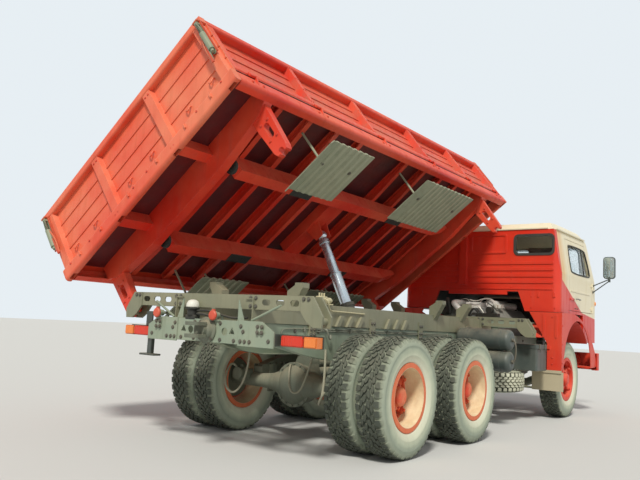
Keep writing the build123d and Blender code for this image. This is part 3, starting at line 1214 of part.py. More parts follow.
# Bed end walls: plate with pressed lines, round-edged rails, hollow upright ribs and cord hooks
END_RIBS = [-1175.0, -440.0, 385.0, 1175.0]
HOOK_YS = [-980.0, -640.0, -240.0, 180.0, 620.0, 960.0]
for name, plate_x, out in [("bed_rear_wall", BED_REAR + WALL, -1), ("bed_front_wall", BED_FRONT - WALL, 1)]:
    with BuildPart() as end_wall:
        with BuildSketch(side_plane(BED_HALF)):
            with Locations((plate_x + out * 6, (BED_LOW + 40 + BED_TOP) / 2)):
                Rectangle(12, BED_TOP - BED_LOW - 40)
            with Locations((plate_x + out * WALL / 2, BED_TOP - 36)):
                RectangleRounded(WALL, 72, 18)
            with Locations((plate_x + out * WALL / 2, BED_LOW + 65)):
                RectangleRounded(WALL, 130, 28)
            with Locations(*[(plate_x + out * 13, line_z) for line_z in (1850.0, 1990.0, 2130.0)]):
                Rectangle(14, 16)
        extrude(amount=2 * BED_HALF)
        for y in END_RIBS:
            with BuildSketch(Plane.XY.offset(BED_LOW + 30)):
                with BuildLine():
                    Polyline((plate_x + out * 2, y - 58), (plate_x + out * (WALL - 6), y - 44),
                             (plate_x + out * (WALL - 6), y + 44), (plate_x + out * 2, y + 58), close=True)
                make_face()
            extrude(amount=BED_TOP - BED_LOW - 100)
            with BuildSketch(Plane.XY.offset(BED_LOW - 1)):
                with BuildLine():
                    Polyline((plate_x + out * 12, y - 48), (plate_x + out * (WALL - 14), y - 37),
                             (plate_x + out * (WALL - 14), y + 37), (plate_x + out * 12, y + 48), close=True)
                make_face()
            extrude(amount=BED_TOP - BED_LOW - 130, mode=Mode.SUBTRACT)
        for y in HOOK_YS:
            x_low, x_high = sorted((plate_x + out * (WALL - 4), plate_x + out * (WALL + 14)))
            box_between((x_low, y - 7, BED_LOW + 70), (x_high, y + 7, BED_LOW + 112))
    hand_in(end_wall.part, name, ON_TIPPED_BED)

# Latches at the bed's four corners: base plate, spring housing, its rod, a bent lever and a claw
LATCH_Y = 1214.0
with BuildPart() as bed_latches:
    plate_low = BED_REAR - 10
    box_between((plate_low, LATCH_Y - 34, 1900), (BED_REAR - 0.5, LATCH_Y + 34, 2280))
    rod((plate_low - 20, LATCH_Y, 1930), (plate_low - 20, LATCH_Y, 2130), 26)
    rod((plate_low - 20, LATCH_Y, 2130), (plate_low - 20, LATCH_Y, 2250), 11)
    rod((plate_low - 20, LATCH_Y, 1905), (plate_low - 20, LATCH_Y, 1932), 16)
    with BuildSketch(cross_plane(plate_low - 32)):
        with BuildLine():
            Polyline((LATCH_Y - 14, 2240), (LATCH_Y + 14, 2240), (LATCH_Y + 20, 2160), (LATCH_Y - 30, 1820),
                     (LATCH_Y - 52, 1826), (LATCH_Y - 8, 2150), close=True)
        make_face()
    extrude(amount=12)
    box_between((plate_low - 30, LATCH_Y - 16, 2240), (plate_low + 2, LATCH_Y + 16, 2268))
    mirror(about=Plane.XZ)
    mirror(about=Plane.YZ.offset((BED_REAR + BED_FRONT) / 2))
hand_in(bed_latches.part, "bed_latches", ON_TIPPED_BED)

# Bed mudguards: corrugated plates hung on rods over the driven wheels
GUARD_Z = 1230.0
GUARD_Y = 945.0
# x of the rear and front edges, rods, drop of the bent rear edge
BED_GUARDS = [(-620.0, 120.0, (-430.0, -10.0), 60.0), (1180.0, 2330.0, (1330.0, 2170.0), 0.0)]
CORRUGATION = 92.0
with BuildPart() as bed_mudguards:
    for x_low, x_high, rod_xs, drop in BED_GUARDS:
        with BuildSketch(side_plane(GUARD_Y + 305)):
            with BuildLine():
                Polyline((x_low, GUARD_Z - drop), (x_low + 90, GUARD_Z), (x_high, GUARD_Z),
                         (x_high, GUARD_Z + 9),
                         (x_low + 87, GUARD_Z + 9), (x_low - 6, GUARD_Z + 9 - drop), close=True)
            make_face()
            beads = int((x_high - x_low - 130) / CORRUGATION)
            with Locations(*[(x_low + 150 + CORRUGATION * bead, GUARD_Z + 14) for bead in range(beads)]):
                Trapezoid(52, 14, 55)
        extrude(amount=610)
        for rod_x in rod_xs:
            rod((rod_x, GUARD_Y + 55, GUARD_Z + 5), (rod_x, GUARD_Y + 55, 1623), 11)
            rod((rod_x, GUARD_Y + 55, GUARD_Z + 5), (rod_x, GUARD_Y + 55, GUARD_Z + 26), 22)
    mirror(about=Plane.XZ)
hand_in(bed_mudguards.part, "bed_mudguards", ON_TIPPED_BED)

# Side board: skin with pressed lines, round-edged rails, thin upright ribs and eyes on the hinge pins
BOARD_IN = BED_HALF - BOARD_THICK
BOARD_REAR = BED_REAR + WALL + 6
BOARD_FRONT = BED_FRONT - WALL - 6
BOARD_RIBS = [BOARD_REAR + 40, -410.0, 660.0, 1840.0, 2900.0, BOARD_FRONT - 40]
with BuildPart() as board:
    with BuildSketch(cross_plane(BOARD_REAR)):
        with Locations((BOARD_IN + 7, (BED_FLOOR + 6 + BED_TOP) / 2)):
            Rectangle(14, BED_TOP - BED_FLOOR - 6)
        with Locations((BED_HALF - BOARD_THICK / 2, BED_TOP - 38)):
            RectangleRounded(BOARD_THICK, 76, 22)
        with Locations((BED_HALF - BOARD_THICK / 2, BED_FLOOR + 42)):
            RectangleRounded(BOARD_THICK, 72, 20)
        with Locations(*[(BOARD_IN + 17, line_z) for line_z in (1890.0, 2025.0, 2160.0)]):
            Rectangle(12, 18)
    extrude(amount=BOARD_FRONT - BOARD_REAR)
    for x in BOARD_RIBS:
        with BuildSketch(Plane.XY.offset(BED_FLOOR + 60)):
            with BuildLine():
                Polyline((x - 40, BOARD_IN + 2), (x - 26, BED_HALF - 8), (x + 26, BED_HALF - 8),
                         (x + 40, BOARD_IN + 2), close=True)
            make_face()
        extrude(amount=BED_TOP - BED_FLOOR - 110)
    for x in HINGE_XS:
        with BuildSketch(cross_plane(x - 30)):
            with Locations((BOARD_PIN_Y, BOARD_PIN_Z)):
                Circle(11)
                with Locations((-6, 12)):
                    Rectangle(14, 40)
        extrude(amount=60)
hand_in(board.part, "side_board_left", ON_TIPPED_BED)
hand_in(mirror(board.part, about=Plane.XZ), "side_board_right", ON_TIPPED_BED)
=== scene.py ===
import bmesh
import bpy
import json
import math
from mathutils import Matrix, Vector


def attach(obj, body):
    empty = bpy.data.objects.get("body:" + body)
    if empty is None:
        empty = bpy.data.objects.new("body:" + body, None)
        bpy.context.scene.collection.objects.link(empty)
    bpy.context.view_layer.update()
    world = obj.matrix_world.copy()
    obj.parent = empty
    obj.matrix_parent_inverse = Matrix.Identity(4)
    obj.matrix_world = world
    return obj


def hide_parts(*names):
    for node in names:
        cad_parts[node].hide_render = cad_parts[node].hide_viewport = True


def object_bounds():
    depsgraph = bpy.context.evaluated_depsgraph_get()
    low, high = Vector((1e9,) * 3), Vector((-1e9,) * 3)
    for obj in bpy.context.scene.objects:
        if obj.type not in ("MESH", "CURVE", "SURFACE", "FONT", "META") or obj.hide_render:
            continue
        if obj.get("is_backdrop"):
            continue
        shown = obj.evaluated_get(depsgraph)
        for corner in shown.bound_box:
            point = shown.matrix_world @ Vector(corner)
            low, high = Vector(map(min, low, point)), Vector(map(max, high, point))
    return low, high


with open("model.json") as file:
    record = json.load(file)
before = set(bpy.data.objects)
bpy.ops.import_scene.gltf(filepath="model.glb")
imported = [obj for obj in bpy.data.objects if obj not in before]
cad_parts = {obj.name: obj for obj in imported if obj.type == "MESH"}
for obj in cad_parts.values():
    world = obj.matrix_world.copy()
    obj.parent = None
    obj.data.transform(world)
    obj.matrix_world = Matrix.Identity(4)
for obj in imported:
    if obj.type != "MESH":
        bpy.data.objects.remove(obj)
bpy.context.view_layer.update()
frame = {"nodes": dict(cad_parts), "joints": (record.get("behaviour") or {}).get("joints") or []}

# The lorry's own axes start at the rearmost axle's middle, on the ground: x forward, y left, z up.
# The bed is drawn lying flat and then turned about its tipping pins to where it stands at rest.
joints = {joint["name"]: joint for joint in frame["joints"]}
rear_hubs = [Vector(joints[f"rear_{hand}_roll"]["pos_m"]) for hand in ("left", "right")]
ON_LORRY = Matrix.Translation((rear_hubs[0].x, (rear_hubs[0].y + rear_hubs[1].y) / 2, 0))
tipping_pin = Vector(joints["bed_tip"]["pos_m"])
TIPPED = math.radians(joints["bed_tip"]["range_deg"][1])
ON_BED = (Matrix.Translation(tipping_pin) @ Matrix.Rotation(-TIPPED, 4, "X")
          @ Matrix.Translation(-tipping_pin) @ ON_LORRY)

# Camera: low behind the lorry's right rear corner, as the photograph was taken. EYE is its place in the
# lorry's own axes, and its angles are in radians. It was fitted to the wheels' rims and the bed's corners.
EYE = Vector((-5.1224, -4.0115, 1.0857))
YAW, PITCH, ROLL = 0.6436, 0.1217, 0.0536
FOCAL_MM, SENSOR_MM, FARTHEST = 38.3, 36, 200
forward = Vector((math.cos(YAW) * math.cos(PITCH), math.sin(YAW) * math.cos(PITCH), math.sin(PITCH)))
level = Vector((math.sin(YAW), -math.cos(YAW), 0))
upright = level.cross(forward)
right = level * math.cos(ROLL) + upright * math.sin(ROLL)
up = upright * math.cos(ROLL) - level * math.sin(ROLL)
lens = bpy.data.cameras.new("camera")
lens.sensor_width = SENSOR_MM
lens.lens = FOCAL_MM
lens.clip_end = FARTHEST
camera = bpy.data.objects.new("camera", lens)
camera.matrix_world = ON_LORRY @ Matrix.Translation(EYE) @ Matrix((right, up, -forward)).transposed().to_4x4()
bpy.context.scene.collection.objects.link(camera)
bpy.context.scene.camera = camera

# Light and floor: one large soft sun from the right rear and an even fill, a pale open background, and
# a pale floor that takes the shadow
bpy.context.scene.view_settings.view_transform = "Standard"
FLOOR_HALF, FLOOR_ROUGH, PALE_FLOOR = 60.0, 0.9, (0.62, 0.63, 0.62, 1)
FILL, FILL_COLOUR, PALE_AIR = 0.43, (1, 0.98, 0.96, 1), (0.80, 0.86, 0.90, 1)
SUN, SUN_COLOUR = 2.8, (1.0, 0.96, 0.88)
SUN_HEIGHT, SUN_ROUND, SUN_SOFT = math.radians(48), math.radians(-152), math.radians(9)


def node(tree, kind, sockets=(), **settings):
    """Adds a node to a tree; sockets gives its inputs, each a value or another node's output."""
    made = tree.nodes.new(kind if kind.startswith(("Geometry", "Function")) else "ShaderNode" + kind)
    for key, value in settings.items():
        setattr(made, key, value)
    for key, value in dict(sockets).items():
        if isinstance(value, bpy.types.NodeSocket):
            tree.links.new(value, made.inputs[key])
        else:
            made.inputs[key].default_value = value
    return made


def maths(tree, operation, *values):
    """The result of one sum of values or outputs."""
    return node(tree, "Math", enumerate(values), operation=operation).outputs[0]


def new_finish(name):
    """A new material, with its tree of nodes and its main shader."""
    material = bpy.data.materials.new(name)
    material.use_nodes = True
    return material, material.node_tree, material.node_tree.nodes["Principled BSDF"]


world = bpy.data.worlds.new("open_air")
world.use_nodes = True
bpy.context.scene.world = world
air = world.node_tree
path = node(air, "LightPath").outputs
seen = maths(air, "MAXIMUM", path["Is Camera Ray"], path["Is Glossy Ray"])
seen = maths(air, "MAXIMUM", seen, path["Is Transmission Ray"])
fill = node(air, "Background", {"Color": FILL_COLOUR, "Strength": FILL})
shown = node(air, "Background", {"Color": PALE_AIR, "Strength": 1.0})
both = node(air, "MixShader", {0: seen, 1: fill.outputs[0], 2: shown.outputs[0]})
air.links.new(both.outputs[0], air.nodes["World Output"].inputs["Surface"])

sun_data = bpy.data.lights.new("sun", "SUN")
sun_data.energy = SUN
sun_data.angle = SUN_SOFT
sun_data.color = SUN_COLOUR
sun = bpy.data.objects.new("sun", sun_data)
sun_from = Vector((math.cos(SUN_HEIGHT) * math.cos(SUN_ROUND), math.cos(SUN_HEIGHT) * math.sin(SUN_ROUND),
                   math.sin(SUN_HEIGHT)))
sun.matrix_world = sun_from.to_track_quat("Z", "Y").to_matrix().to_4x4()
bpy.context.scene.collection.objects.link(sun)

floor_mesh = bpy.data.meshes.new("floor")
floor_mesh.from_pydata([(sx * FLOOR_HALF, sy * FLOOR_HALF, 0) for sx, sy in ((-1, -1), (1, -1), (1, 1), (-1, 1))],
                       [], [(0, 1, 2, 3)])
floor = bpy.data.objects.new("floor", floor_mesh)
bpy.context.scene.collection.objects.link(floor)
floor_finish, _, floor_shader = new_finish("pale_floor")
floor_shader.inputs["Base Color"].default_value = PALE_FLOOR
floor_shader.inputs["Roughness"].default_value = FLOOR_ROUGH
floor_mesh.materials.append(floor_finish)
floor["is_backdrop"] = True

# Chassis rails: pressed steel channels, sprayed green-grey, with the cross-members' bolts through
# their webs and two brake pipes clipped along the right one. Road dust lies on what faces up.
RAIL_SIDE, PIPE_SIDE = 0.430, -0.438
CROSS_MEMBERS = (-0.63, -0.30, 0.60, 0.72, 1.92, 2.32, 2.62, 2.87, 3.30, 3.78, 4.30, 4.70, 5.28, 5.60)
REAR_BOLTS, RAIL_BOLTS = (0.94, 1.01), (0.81, 0.90, 0.99)


def shade(red, green, blue):
    """A colour given as 0 to 255, as the shaders take it."""
    return tuple((c / 255 / 12.92 if c < 11 else ((c / 255 + 0.055) / 1.055) ** 2.4) for c in (red, green, blue)) + (1,)


def noise(tree, spot, scale, detail, roughness=0.5):
    """Smooth noise about 0.5."""
    return node(tree, "TexNoise", {"Vector": spot, "Scale": scale, "Detail": detail, "Roughness": roughness}).outputs[0]


def remap(tree, value, low=0.0, high=1.0, first=0.0, last=1.0, clamp=True):
    """A value stretched from the range low to high, to the range first to last."""
    return node(tree, "MapRange", {"Value": value, "From Min": low, "From Max": high, "To Min": first,
                                   "To Max": last}, clamp=clamp).outputs[0]


def blotches(tree, spot, scale, low, high, detail=4.0, roughness=0.6):
    """Noise stretched to run from 0 at low to 1 at high."""
    return remap(tree, noise(tree, spot, scale, detail, roughness), low, high)


def over(tree, value, limit):
    """1 where a value is more than a limit, else 0."""
    return maths(tree, "GREATER_THAN", value, limit)


def xyz(tree, vector):
    """The three parts of a vector."""
    return node(tree, "SeparateXYZ", {0: vector}).outputs


def mix(tree, factor, first, second):
    """A colour mix of two colours, each a value or an output."""
    return node(tree, "Mix", {0: factor, 6: first, 7: second}, data_type="RGBA").outputs[2]


def sums(tree, operation, *values):
    """Runs several values through one kind of sum, each result kept between 0 and 1."""
    total = values[0]
    for value in values[1:]:
        total = node(tree, "Math", {0: total, 1: value}, operation=operation, use_clamp=True).outputs[0]
    return total


def measure(tree, operation, first, second):
    """One number from two vectors: their distance or their dot product."""
    return node(tree, "VectorMath", {0: first, 1: second}, operation=operation).outputs["Value"]


def weathered(tree, spot, fresh, faded, share=0.8):
    """Fresh paint that has faded in large patches."""
    return mix(tree, sums(tree, "MULTIPLY", blotches(tree, spot, 0.9, 0.38, 0.66), share), fresh, shade(*faded))


def coat(name, colour, faded=None, dust=(178, 166, 138), dusty=0.35, worn=(92, 84, 76), wear=0.5, gloss=0.38,
         metal=0.0, grain=0.0006):
    """A weathered finish: faded patches, dust lying on top, dirt runs and worn edges.
    Its colour may be a function that works it out from the tree and the object's own coordinates."""
    material, tree, shader = new_finish(name)
    where = node(tree, "TexCoord").outputs
    spot = where["Object"]
    tall = node(tree, "Mapping", {"Vector": spot, "Scale": (7.0, 7.0, 0.7)}).outputs[0]
    round_edge = node(tree, "Bevel", {"Radius": 0.006}, samples=3).outputs[0]
    alike = measure(tree, "DOT_PRODUCT", round_edge, node(tree, "NewGeometry").outputs["Normal"])
    chips = sums(tree, "MULTIPLY", remap(tree, alike, 0.985, 0.86), blotches(tree, spot, 38.0, 0.48, 0.62, 6.0, 0.75))
    runs = blotches(tree, tall, 2.2, 0.50, 0.78, 5.0, 0.7)
    upward = xyz(tree, where["Normal"])[2]
    settled = sums(tree, "MULTIPLY", remap(tree, upward, -0.2, 1.0), blotches(tree, spot, 5.5, 0.30, 0.72, 6.0, 0.7))
    paint = colour(tree, spot) if callable(colour) else shade(*colour)
    if faded:
        paint = weathered(tree, spot, paint, faded)
    for covered, share, over in ((settled, dusty, dust), (runs, 0.35 * dusty + 0.05, worn), (chips, wear, worn)):
        paint = mix(tree, sums(tree, "MULTIPLY", covered, share), paint, shade(*over))
    tree.links.new(paint, shader.inputs["Base Color"])
    rough = remap(tree, sums(tree, "ADD", settled, runs), first=gloss, last=min(1.0, gloss + 0.4))
    tree.links.new(rough, shader.inputs["Roughness"])
    shader.inputs["Metallic"].default_value = metal
    dents = node(tree, "Bump", {"Height": noise(tree, spot, 6.0, 3.0), "Distance": 0.004, "Strength": 0.35,
                                "Normal": round_edge}).outputs[0]
    skin = node(tree, "Bump", {"Height": noise(tree, spot, 160.0, 3.0), "Distance": grain, "Strength": 0.6,
                               "Normal": dents}).outputs[0]
    tree.links.new(skin, shader.inputs["Normal"])
    return material


def dress(material, *nodes):
    """Gives a material to solids of the frame that keep their own shape."""
    for name in nodes:
        slots = frame["nodes"][name].data.materials
        slots.clear()
        slots.append(material)


def put(mesh, name, body, finish=None, home=ON_LORRY, smooth=35):
    """Moves a mesh home, makes it a piece of the object, and lets it ride on the body that carries it."""
    mesh.transform(home)
    mesh.name = name
    if finish:
        mesh.materials.clear()
        mesh.materials.append(finish)
    mesh.shade_smooth()
    mesh.set_sharp_from_angle(angle=math.radians(smooth))
    piece = bpy.data.objects.new(name, mesh)
    bpy.context.scene.collection.objects.link(piece)
    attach(piece, body)
    return piece


def evaluated(holder):
    """The plain mesh that an object comes out as; the object itself is removed."""
    bpy.context.scene.collection.objects.link(holder)
    bpy.context.view_layer.update()
    made = bpy.data.meshes.new_from_object(holder.evaluated_get(bpy.context.evaluated_depsgraph_get()))
    bpy.data.objects.remove(holder)
    return made


def grown(seed, tree, **inputs):
    """The plain mesh that a tree of geometry nodes grows from a seed mesh; inputs are its named sockets."""
    holder = bpy.data.objects.new("seed", seed)
    modifier = holder.modifiers.new("growth", "NODES")
    modifier.node_group = tree
    for socket in tree.interface.items_tree:
        if socket.item_type == "SOCKET" and socket.in_out == "INPUT" and socket.name in inputs:
            modifier[socket.identifier] = inputs[socket.name]
    return evaluated(holder)


def new_tree(name, *inputs):
    """An empty tree of geometry nodes with named inputs, each a (name, kind) pair, and one output."""
    tree = bpy.data.node_groups.new(name, "GeometryNodeTree")
    for label, kind in inputs:
        tree.interface.new_socket(label, in_out="INPUT", socket_type="NodeSocket" + kind)
    tree.interface.new_socket("Made", in_out="OUTPUT", socket_type="NodeSocketGeometry")
    return tree, tree.nodes.new("NodeGroupInput").outputs, tree.nodes.new("NodeGroupOutput").inputs


def end_tree(tree, instances, finish, result):
    """The tree's end: its instances made real and given their finish."""
    real = node(tree, "GeometryNodeRealizeInstances", {"Geometry": instances}).outputs[0]
    coated = node(tree, "GeometryNodeSetMaterial", {"Geometry": real, "Material": finish}).outputs[0]
    tree.links.new(coated, result[0])


heads, given, result = new_tree("bolt_heads", ("Places", "Geometry"), ("Radius", "Float"), ("Height", "Float"),
                                ("Sides", "Int"), ("Finish", "Material"))
raised = node(heads, "CombineXYZ", {2: maths(heads, "MULTIPLY", given["Height"], 0.5)}).outputs[0]
collar = maths(heads, "MULTIPLY", given["Radius"], 1.45)
thin = maths(heads, "MULTIPLY", given["Height"], 0.4)
head = node(heads, "GeometryNodeMeshCylinder", {"Vertices": given["Sides"], "Radius": given["Radius"],
                                                "Depth": given["Height"]}).outputs["Mesh"]
head = node(heads, "GeometryNodeTransform", {"Geometry": head, "Translation": raised}).outputs[0]
washer = node(heads, "GeometryNodeMeshCylinder", {"Vertices": 10, "Radius": collar, "Depth": thin}).outputs["Mesh"]
bolt = node(heads, "GeometryNodeJoinGeometry")
heads.links.new(head, bolt.inputs[0])
heads.links.new(washer, bolt.inputs[0])
outward = node(heads, "GeometryNodeInputNamedAttribute", {"Name": "outward"}, data_type="FLOAT_VECTOR").outputs[0]
turned_out = node(heads, "FunctionNodeAlignRotationToVector", {"Vector": outward}, axis="Z").outputs[0]
scattered = node(heads, "GeometryNodeInstanceOnPoints", {"Points": given["Places"], "Instance": bolt.outputs[0],
                                                         "Rotation": turned_out}).outputs[0]
end_tree(heads, scattered, given["Finish"], result)


def bolts(name, places, body, finish, radius=0.013, height=0.010, sides=6, home=ON_LORRY):
    """One piece of all the bolt heads, nuts or rivets of a group; places are (point, way out) pairs."""
    seed = bpy.data.meshes.new("places")
    seed.from_pydata([point for point, _ in places], [], [])
    seed.attributes.new("outward", "FLOAT_VECTOR", "POINT").data.foreach_set(
        "vector", [value for _, way in places for value in way])
    mesh = grown(seed, heads, Radius=radius, Height=height, Sides=sides, Finish=finish)
    return put(mesh, name, body, home=home)


def block(bm, low, high, edge=0.0, steps=1):
    """A box between two corners, given in any order, with its edges rounded."""
    low, high = (Vector(map(pick, low, high)) for pick in (min, max))
    made = bmesh.ops.create_cube(bm, size=1)["verts"]
    for corner in made:
        corner.co = Vector(a + (b - a) * (c + 0.5) for a, b, c in zip(low, high, corner.co))
    if edge:
        bmesh.ops.bevel(bm, geom=list({e for v in made for e in v.link_edges}), offset=edge, segments=steps,
                        affect="EDGES", profile=0.5)


def pipe(bm, points, radius, sides=8, closed=False):
    """A bent tube with closed ends, along a smooth line led by the points."""
    line = bpy.data.curves.new("line", "CURVE")
    line.dimensions = "3D"
    run = line.splines.new("NURBS")
    run.points.add(len(points) - 1)
    for spot, point in zip(run.points, points):
        spot.co = (*point, 1)
    run.order_u = min(3, len(points))
    run.use_endpoint_u = not closed
    run.use_cyclic_u = closed
    run.resolution_u = 5
    line.bevel_depth = radius
    line.bevel_resolution = sides // 2 - 2
    line.use_fill_caps = True
    bm.from_mesh(evaluated(bpy.data.objects.new("line", line)))


def as_mesh(bm, name):
    """The mesh of what was drawn."""
    mesh = bpy.data.meshes.new(name)
    bm.to_mesh(mesh)
    bm.free()
    return mesh


def finished(bm, name, body, finish, home=ON_LORRY, smooth=35):
    """Closes a drawn mesh, turns its faces outwards and makes it a piece."""
    bmesh.ops.remove_doubles(bm, verts=bm.verts, dist=1e-6)
    bmesh.ops.recalc_face_normals(bm, faces=bm.faces)
    return put(as_mesh(bm, name), name, body, finish, home, smooth)


chassis_grey = coat("chassis_grey", (126, 146, 130), (160, 168, 144), dusty=0.5)
bare_steel = coat("bare_steel", (96, 98, 92), (120, 112, 96), dusty=0.3, wear=0.7, gloss=0.42, metal=0.5)
dress(chassis_grey, "frame_rail_left", "frame_rail_right")
rail_bolts = []
for side in (-1, 1):
    for x in CROSS_MEMBERS:
        for z in REAR_BOLTS if x < 0 else RAIL_BOLTS:
            rail_bolts.append(((x, side * RAIL_SIDE, z), (0, side, 0)))
bolts("rail_bolts", rail_bolts, "chassis", bare_steel)

brake_pipes = bmesh.new()
for z, start in ((1.035, -0.82), (1.020, -0.46)):
    pipe(brake_pipes, [(start, -0.436, z - 0.12), (start, PIPE_SIDE, z - 0.03), (start + 0.05, PIPE_SIDE, z),
                       (0.9, PIPE_SIDE, z), (2.28, PIPE_SIDE, z), (2.33, -0.44, z - 0.02), (2.36, -0.45, z - 0.07)],
         0.005)
for x in (-0.52, 0.18, 0.85, 1.55, 2.20):
    block(brake_pipes, (x, -0.446, 1.008), (x + 0.022, -0.430, 1.048), 0.003)
pipe(brake_pipes, [(-0.24, -0.432, 1.04), (-0.24, -0.475, 1.04), (-0.22, -0.480, 0.99), (-0.19, -0.478, 0.945),
                   (-0.16, -0.470, 0.965), (-0.16, -0.462, 0.99)], 0.008)
block(brake_pipes, (-0.275, -0.443, 1.015), (-0.165, -0.430, 1.055), 0.004)
finished(brake_pipes, "brake_pipes", "chassis",
         coat("pipe_grey", (128, 132, 118), dusty=0.4, gloss=0.45))

# Cross-members and the rear plate: pressed steel in the same paint, lapped and bolted. On the plate
# stand two thin gussets with struts, two red-capped air couplings and the brake filter's white dome.
FORWARD, REARWARD, UPWARD = (1, 0, 0), (-1, 0, 0), (0, 0, 1)
PLATE_FACE, GUSSET_TOP = -1.229, 1.235
COUPLING_YS, COUPLING_HIGH = (0.58, -0.09), 1.105
FILTER_X, FILTER_Y = -1.20, 0.208


def bands(bm, rings):
    """The faces between each ring of corners and the next one."""
    for first, second in zip(rings, rings[1:]):
        for count in range(len(first)):
            after = (count + 1) % len(first)
            bm.faces.new((first[count], first[after], second[after], second[count]))


def plate(bm, outline, axis, low, high):
    """A plate cut to an outline in the two directions other than axis, from low to high along axis."""
    rings = []
    for depth in (low, high):
        spots = [(depth, u, v) if axis == 0 else (u, depth, v) if axis == 1 else (u, v, depth) for u, v in outline]
        rings.append([bm.verts.new(spot) for spot in spots])
        bm.faces.new(rings[-1])
    bands(bm, rings)


def circle(radius, count, start=0.0):
    """Even places round a circle, each a pair of distances from its middle."""
    turns = [start + 2 * math.pi * step / count for step in range(count)]
    return [(radius * math.cos(turn), radius * math.sin(turn)) for turn in turns]


def lathe(bm, profile, centre, way, steps=24, loop=False):
    """A turned piece: its profile gives (along, radius) pairs. Its ends are closed, or joined by a loop."""
    lean = Vector(way).to_track_quat("Z", "Y")
    if not loop:
        start, end = ([(along, 0)] if radius else [] for along, radius in (profile[0], profile[-1]))
        profile = start + profile + end
    rings = [[bm.verts.new(Vector(centre) + lean @ Vector((u, v, along)))
              for u, v in circle(radius, steps if radius else 1)] for along, radius in profile]
    for first, second in zip(rings, rings[1:] + (rings[:1] if loop else [])):
        for turn in range(steps):
            after = (turn + 1) % steps
            corners = [first[turn % len(first)], first[after % len(first)],
                       second[after % len(second)], second[turn % len(second)]]
            corners = list(dict.fromkeys(corners))
            if len(corners) > 2:
                bm.faces.new(corners)


dress(chassis_grey, "cross_members")
plate_bolts = []
for side in (-1, 1):
    for y in (0.556, 0.598):
        plate_bolts += [((-1.241, side * y, z), REARWARD) for z in (0.992, 1.034)]
    plate_bolts += [((PLATE_FACE, side * y, z), REARWARD) for y, z in
                    ((0.375, 1.03), (0.40, 0.99), (0.375, 0.915), (0.42, 0.915), (0.47, 0.915), (0.66, 0.93))]
    plate_bolts += [((-1.222, side * y, z), REARWARD) for y, z in ((0.15, 0.915), (0.30, 0.915), (0.145, 1.045))]
bolts("rear_plate_bolts", plate_bolts, "chassis", bare_steel, 0.012, 0.010)

rear_fittings = bmesh.new()
for side in (-1, 1):
    plate(rear_fittings, [(side * 0.385, 1.066), (side * 0.318, GUSSET_TOP), (side * 0.312, GUSSET_TOP),
                          (side * 0.312, 1.066)], 0, -1.205, -1.199)
    block(rear_fittings, (-1.21, side * 0.35 - 0.04, 1.070), (-1.17, side * 0.35 + 0.04, 1.078), 0.002)
    pipe(rear_fittings, [(-1.185, side * 0.44, 1.078), (-1.16, side * 0.71, 1.205)], 0.010)
for y in COUPLING_YS:
    block(rear_fittings, (-1.235, y - 0.045, 1.060), (-1.185, y + 0.045, 1.072), 0.003)
    lathe(rear_fittings, [(0, 0.026), (0.030, 0.026), (0.034, 0.034), (0.060, 0.034)],
          (-1.195, y, COUPLING_HIGH), REARWARD, 16)
    pipe(rear_fittings, [(-1.195, y, COUPLING_HIGH), (-1.15, y, 1.11), (-1.10, y + 0.05, 1.10),
                         (-1.02, y + 0.12, 1.05)], 0.012)
    block(rear_fittings, (-1.235, y + 0.035, 1.07), (-1.195, y + 0.043, 1.165), 0.003)
finished(rear_fittings, "rear_plate_fittings", "chassis", chassis_grey)

coupling_caps = bmesh.new()
for y in COUPLING_YS:
    lathe(coupling_caps, [(0, 0.040), (0.012, 0.041), (0.020, 0.034), (0.024, 0)],
          (-1.252, y, COUPLING_HIGH), REARWARD, 20)
    block(coupling_caps, (-1.268, y - 0.008, 1.13), (-1.236, y + 0.008, 1.155), 0.003)
finished(coupling_caps, "coupling_caps", "chassis",
         coat("cap_red", (206, 64, 44), (220, 110, 84), dusty=0.3))

filter_dome = bmesh.new()
lathe(filter_dome, [(0.062, 0), (0.060, 0.020), (0.050, 0.040), (0.030, 0.052), (0.008, 0.055), (0, 0.055),
                    (-0.004, 0.050)], (FILTER_X, FILTER_Y, 1.165), UPWARD, 28)
finished(filter_dome, "filter_dome", "chassis",
         coat("dome_white", (226, 226, 216), dusty=0.15), smooth=60)
filter_body = bmesh.new()
lathe(filter_body, [(0, 0.040), (0.045, 0.044), (0.050, 0.058), (0.062, 0.058)],
      (FILTER_X, FILTER_Y, 1.098), UPWARD, 24)
block(filter_body, (FILTER_X - 0.025, FILTER_Y - 0.058, 1.062), (FILTER_X + 0.035, FILTER_Y + 0.058, 1.100), 0.006, 2)
pipe(filter_body, [(-1.20, 0.15, 1.11), (-1.215, 0.08, 1.115), (-1.215, 0.0, 1.100), (-1.20, -0.02, 1.098)], 0.012)
pipe(filter_body, [(-1.20, 0.15, 1.135), (-1.20, 0.02, 1.15), (-1.19, -0.16, 1.10), (-1.17, -0.27, 1.09),
                   (-1.13, -0.35, 1.10)], 0.009)
black_rubber = coat("black_rubber", (34, 36, 34), (58, 60, 56), dusty=0.3, gloss=0.6)
finished(filter_body, "filter_body", "chassis", black_rubber)

# Tow hitch: a cast housing in grey paint, with a rough skin and dust on it, bolted to the middle of the
# rear plate by the four corners of its flange
HITCH_RING, HITCH_HIGH = 0.090, 0.985
cast_grey = coat("cast_grey", (92, 100, 88), (128, 132, 114), dusty=0.7, gloss=0.6, grain=0.0018)
dress(cast_grey, "tow_hitch")
bolts("hitch_bolts", [((-1.236, y, HITCH_HIGH + rise), REARWARD) for y, rise in circle(HITCH_RING, 4, math.pi / 4)],
      "chassis", bare_steel, 0.011, 0.012)

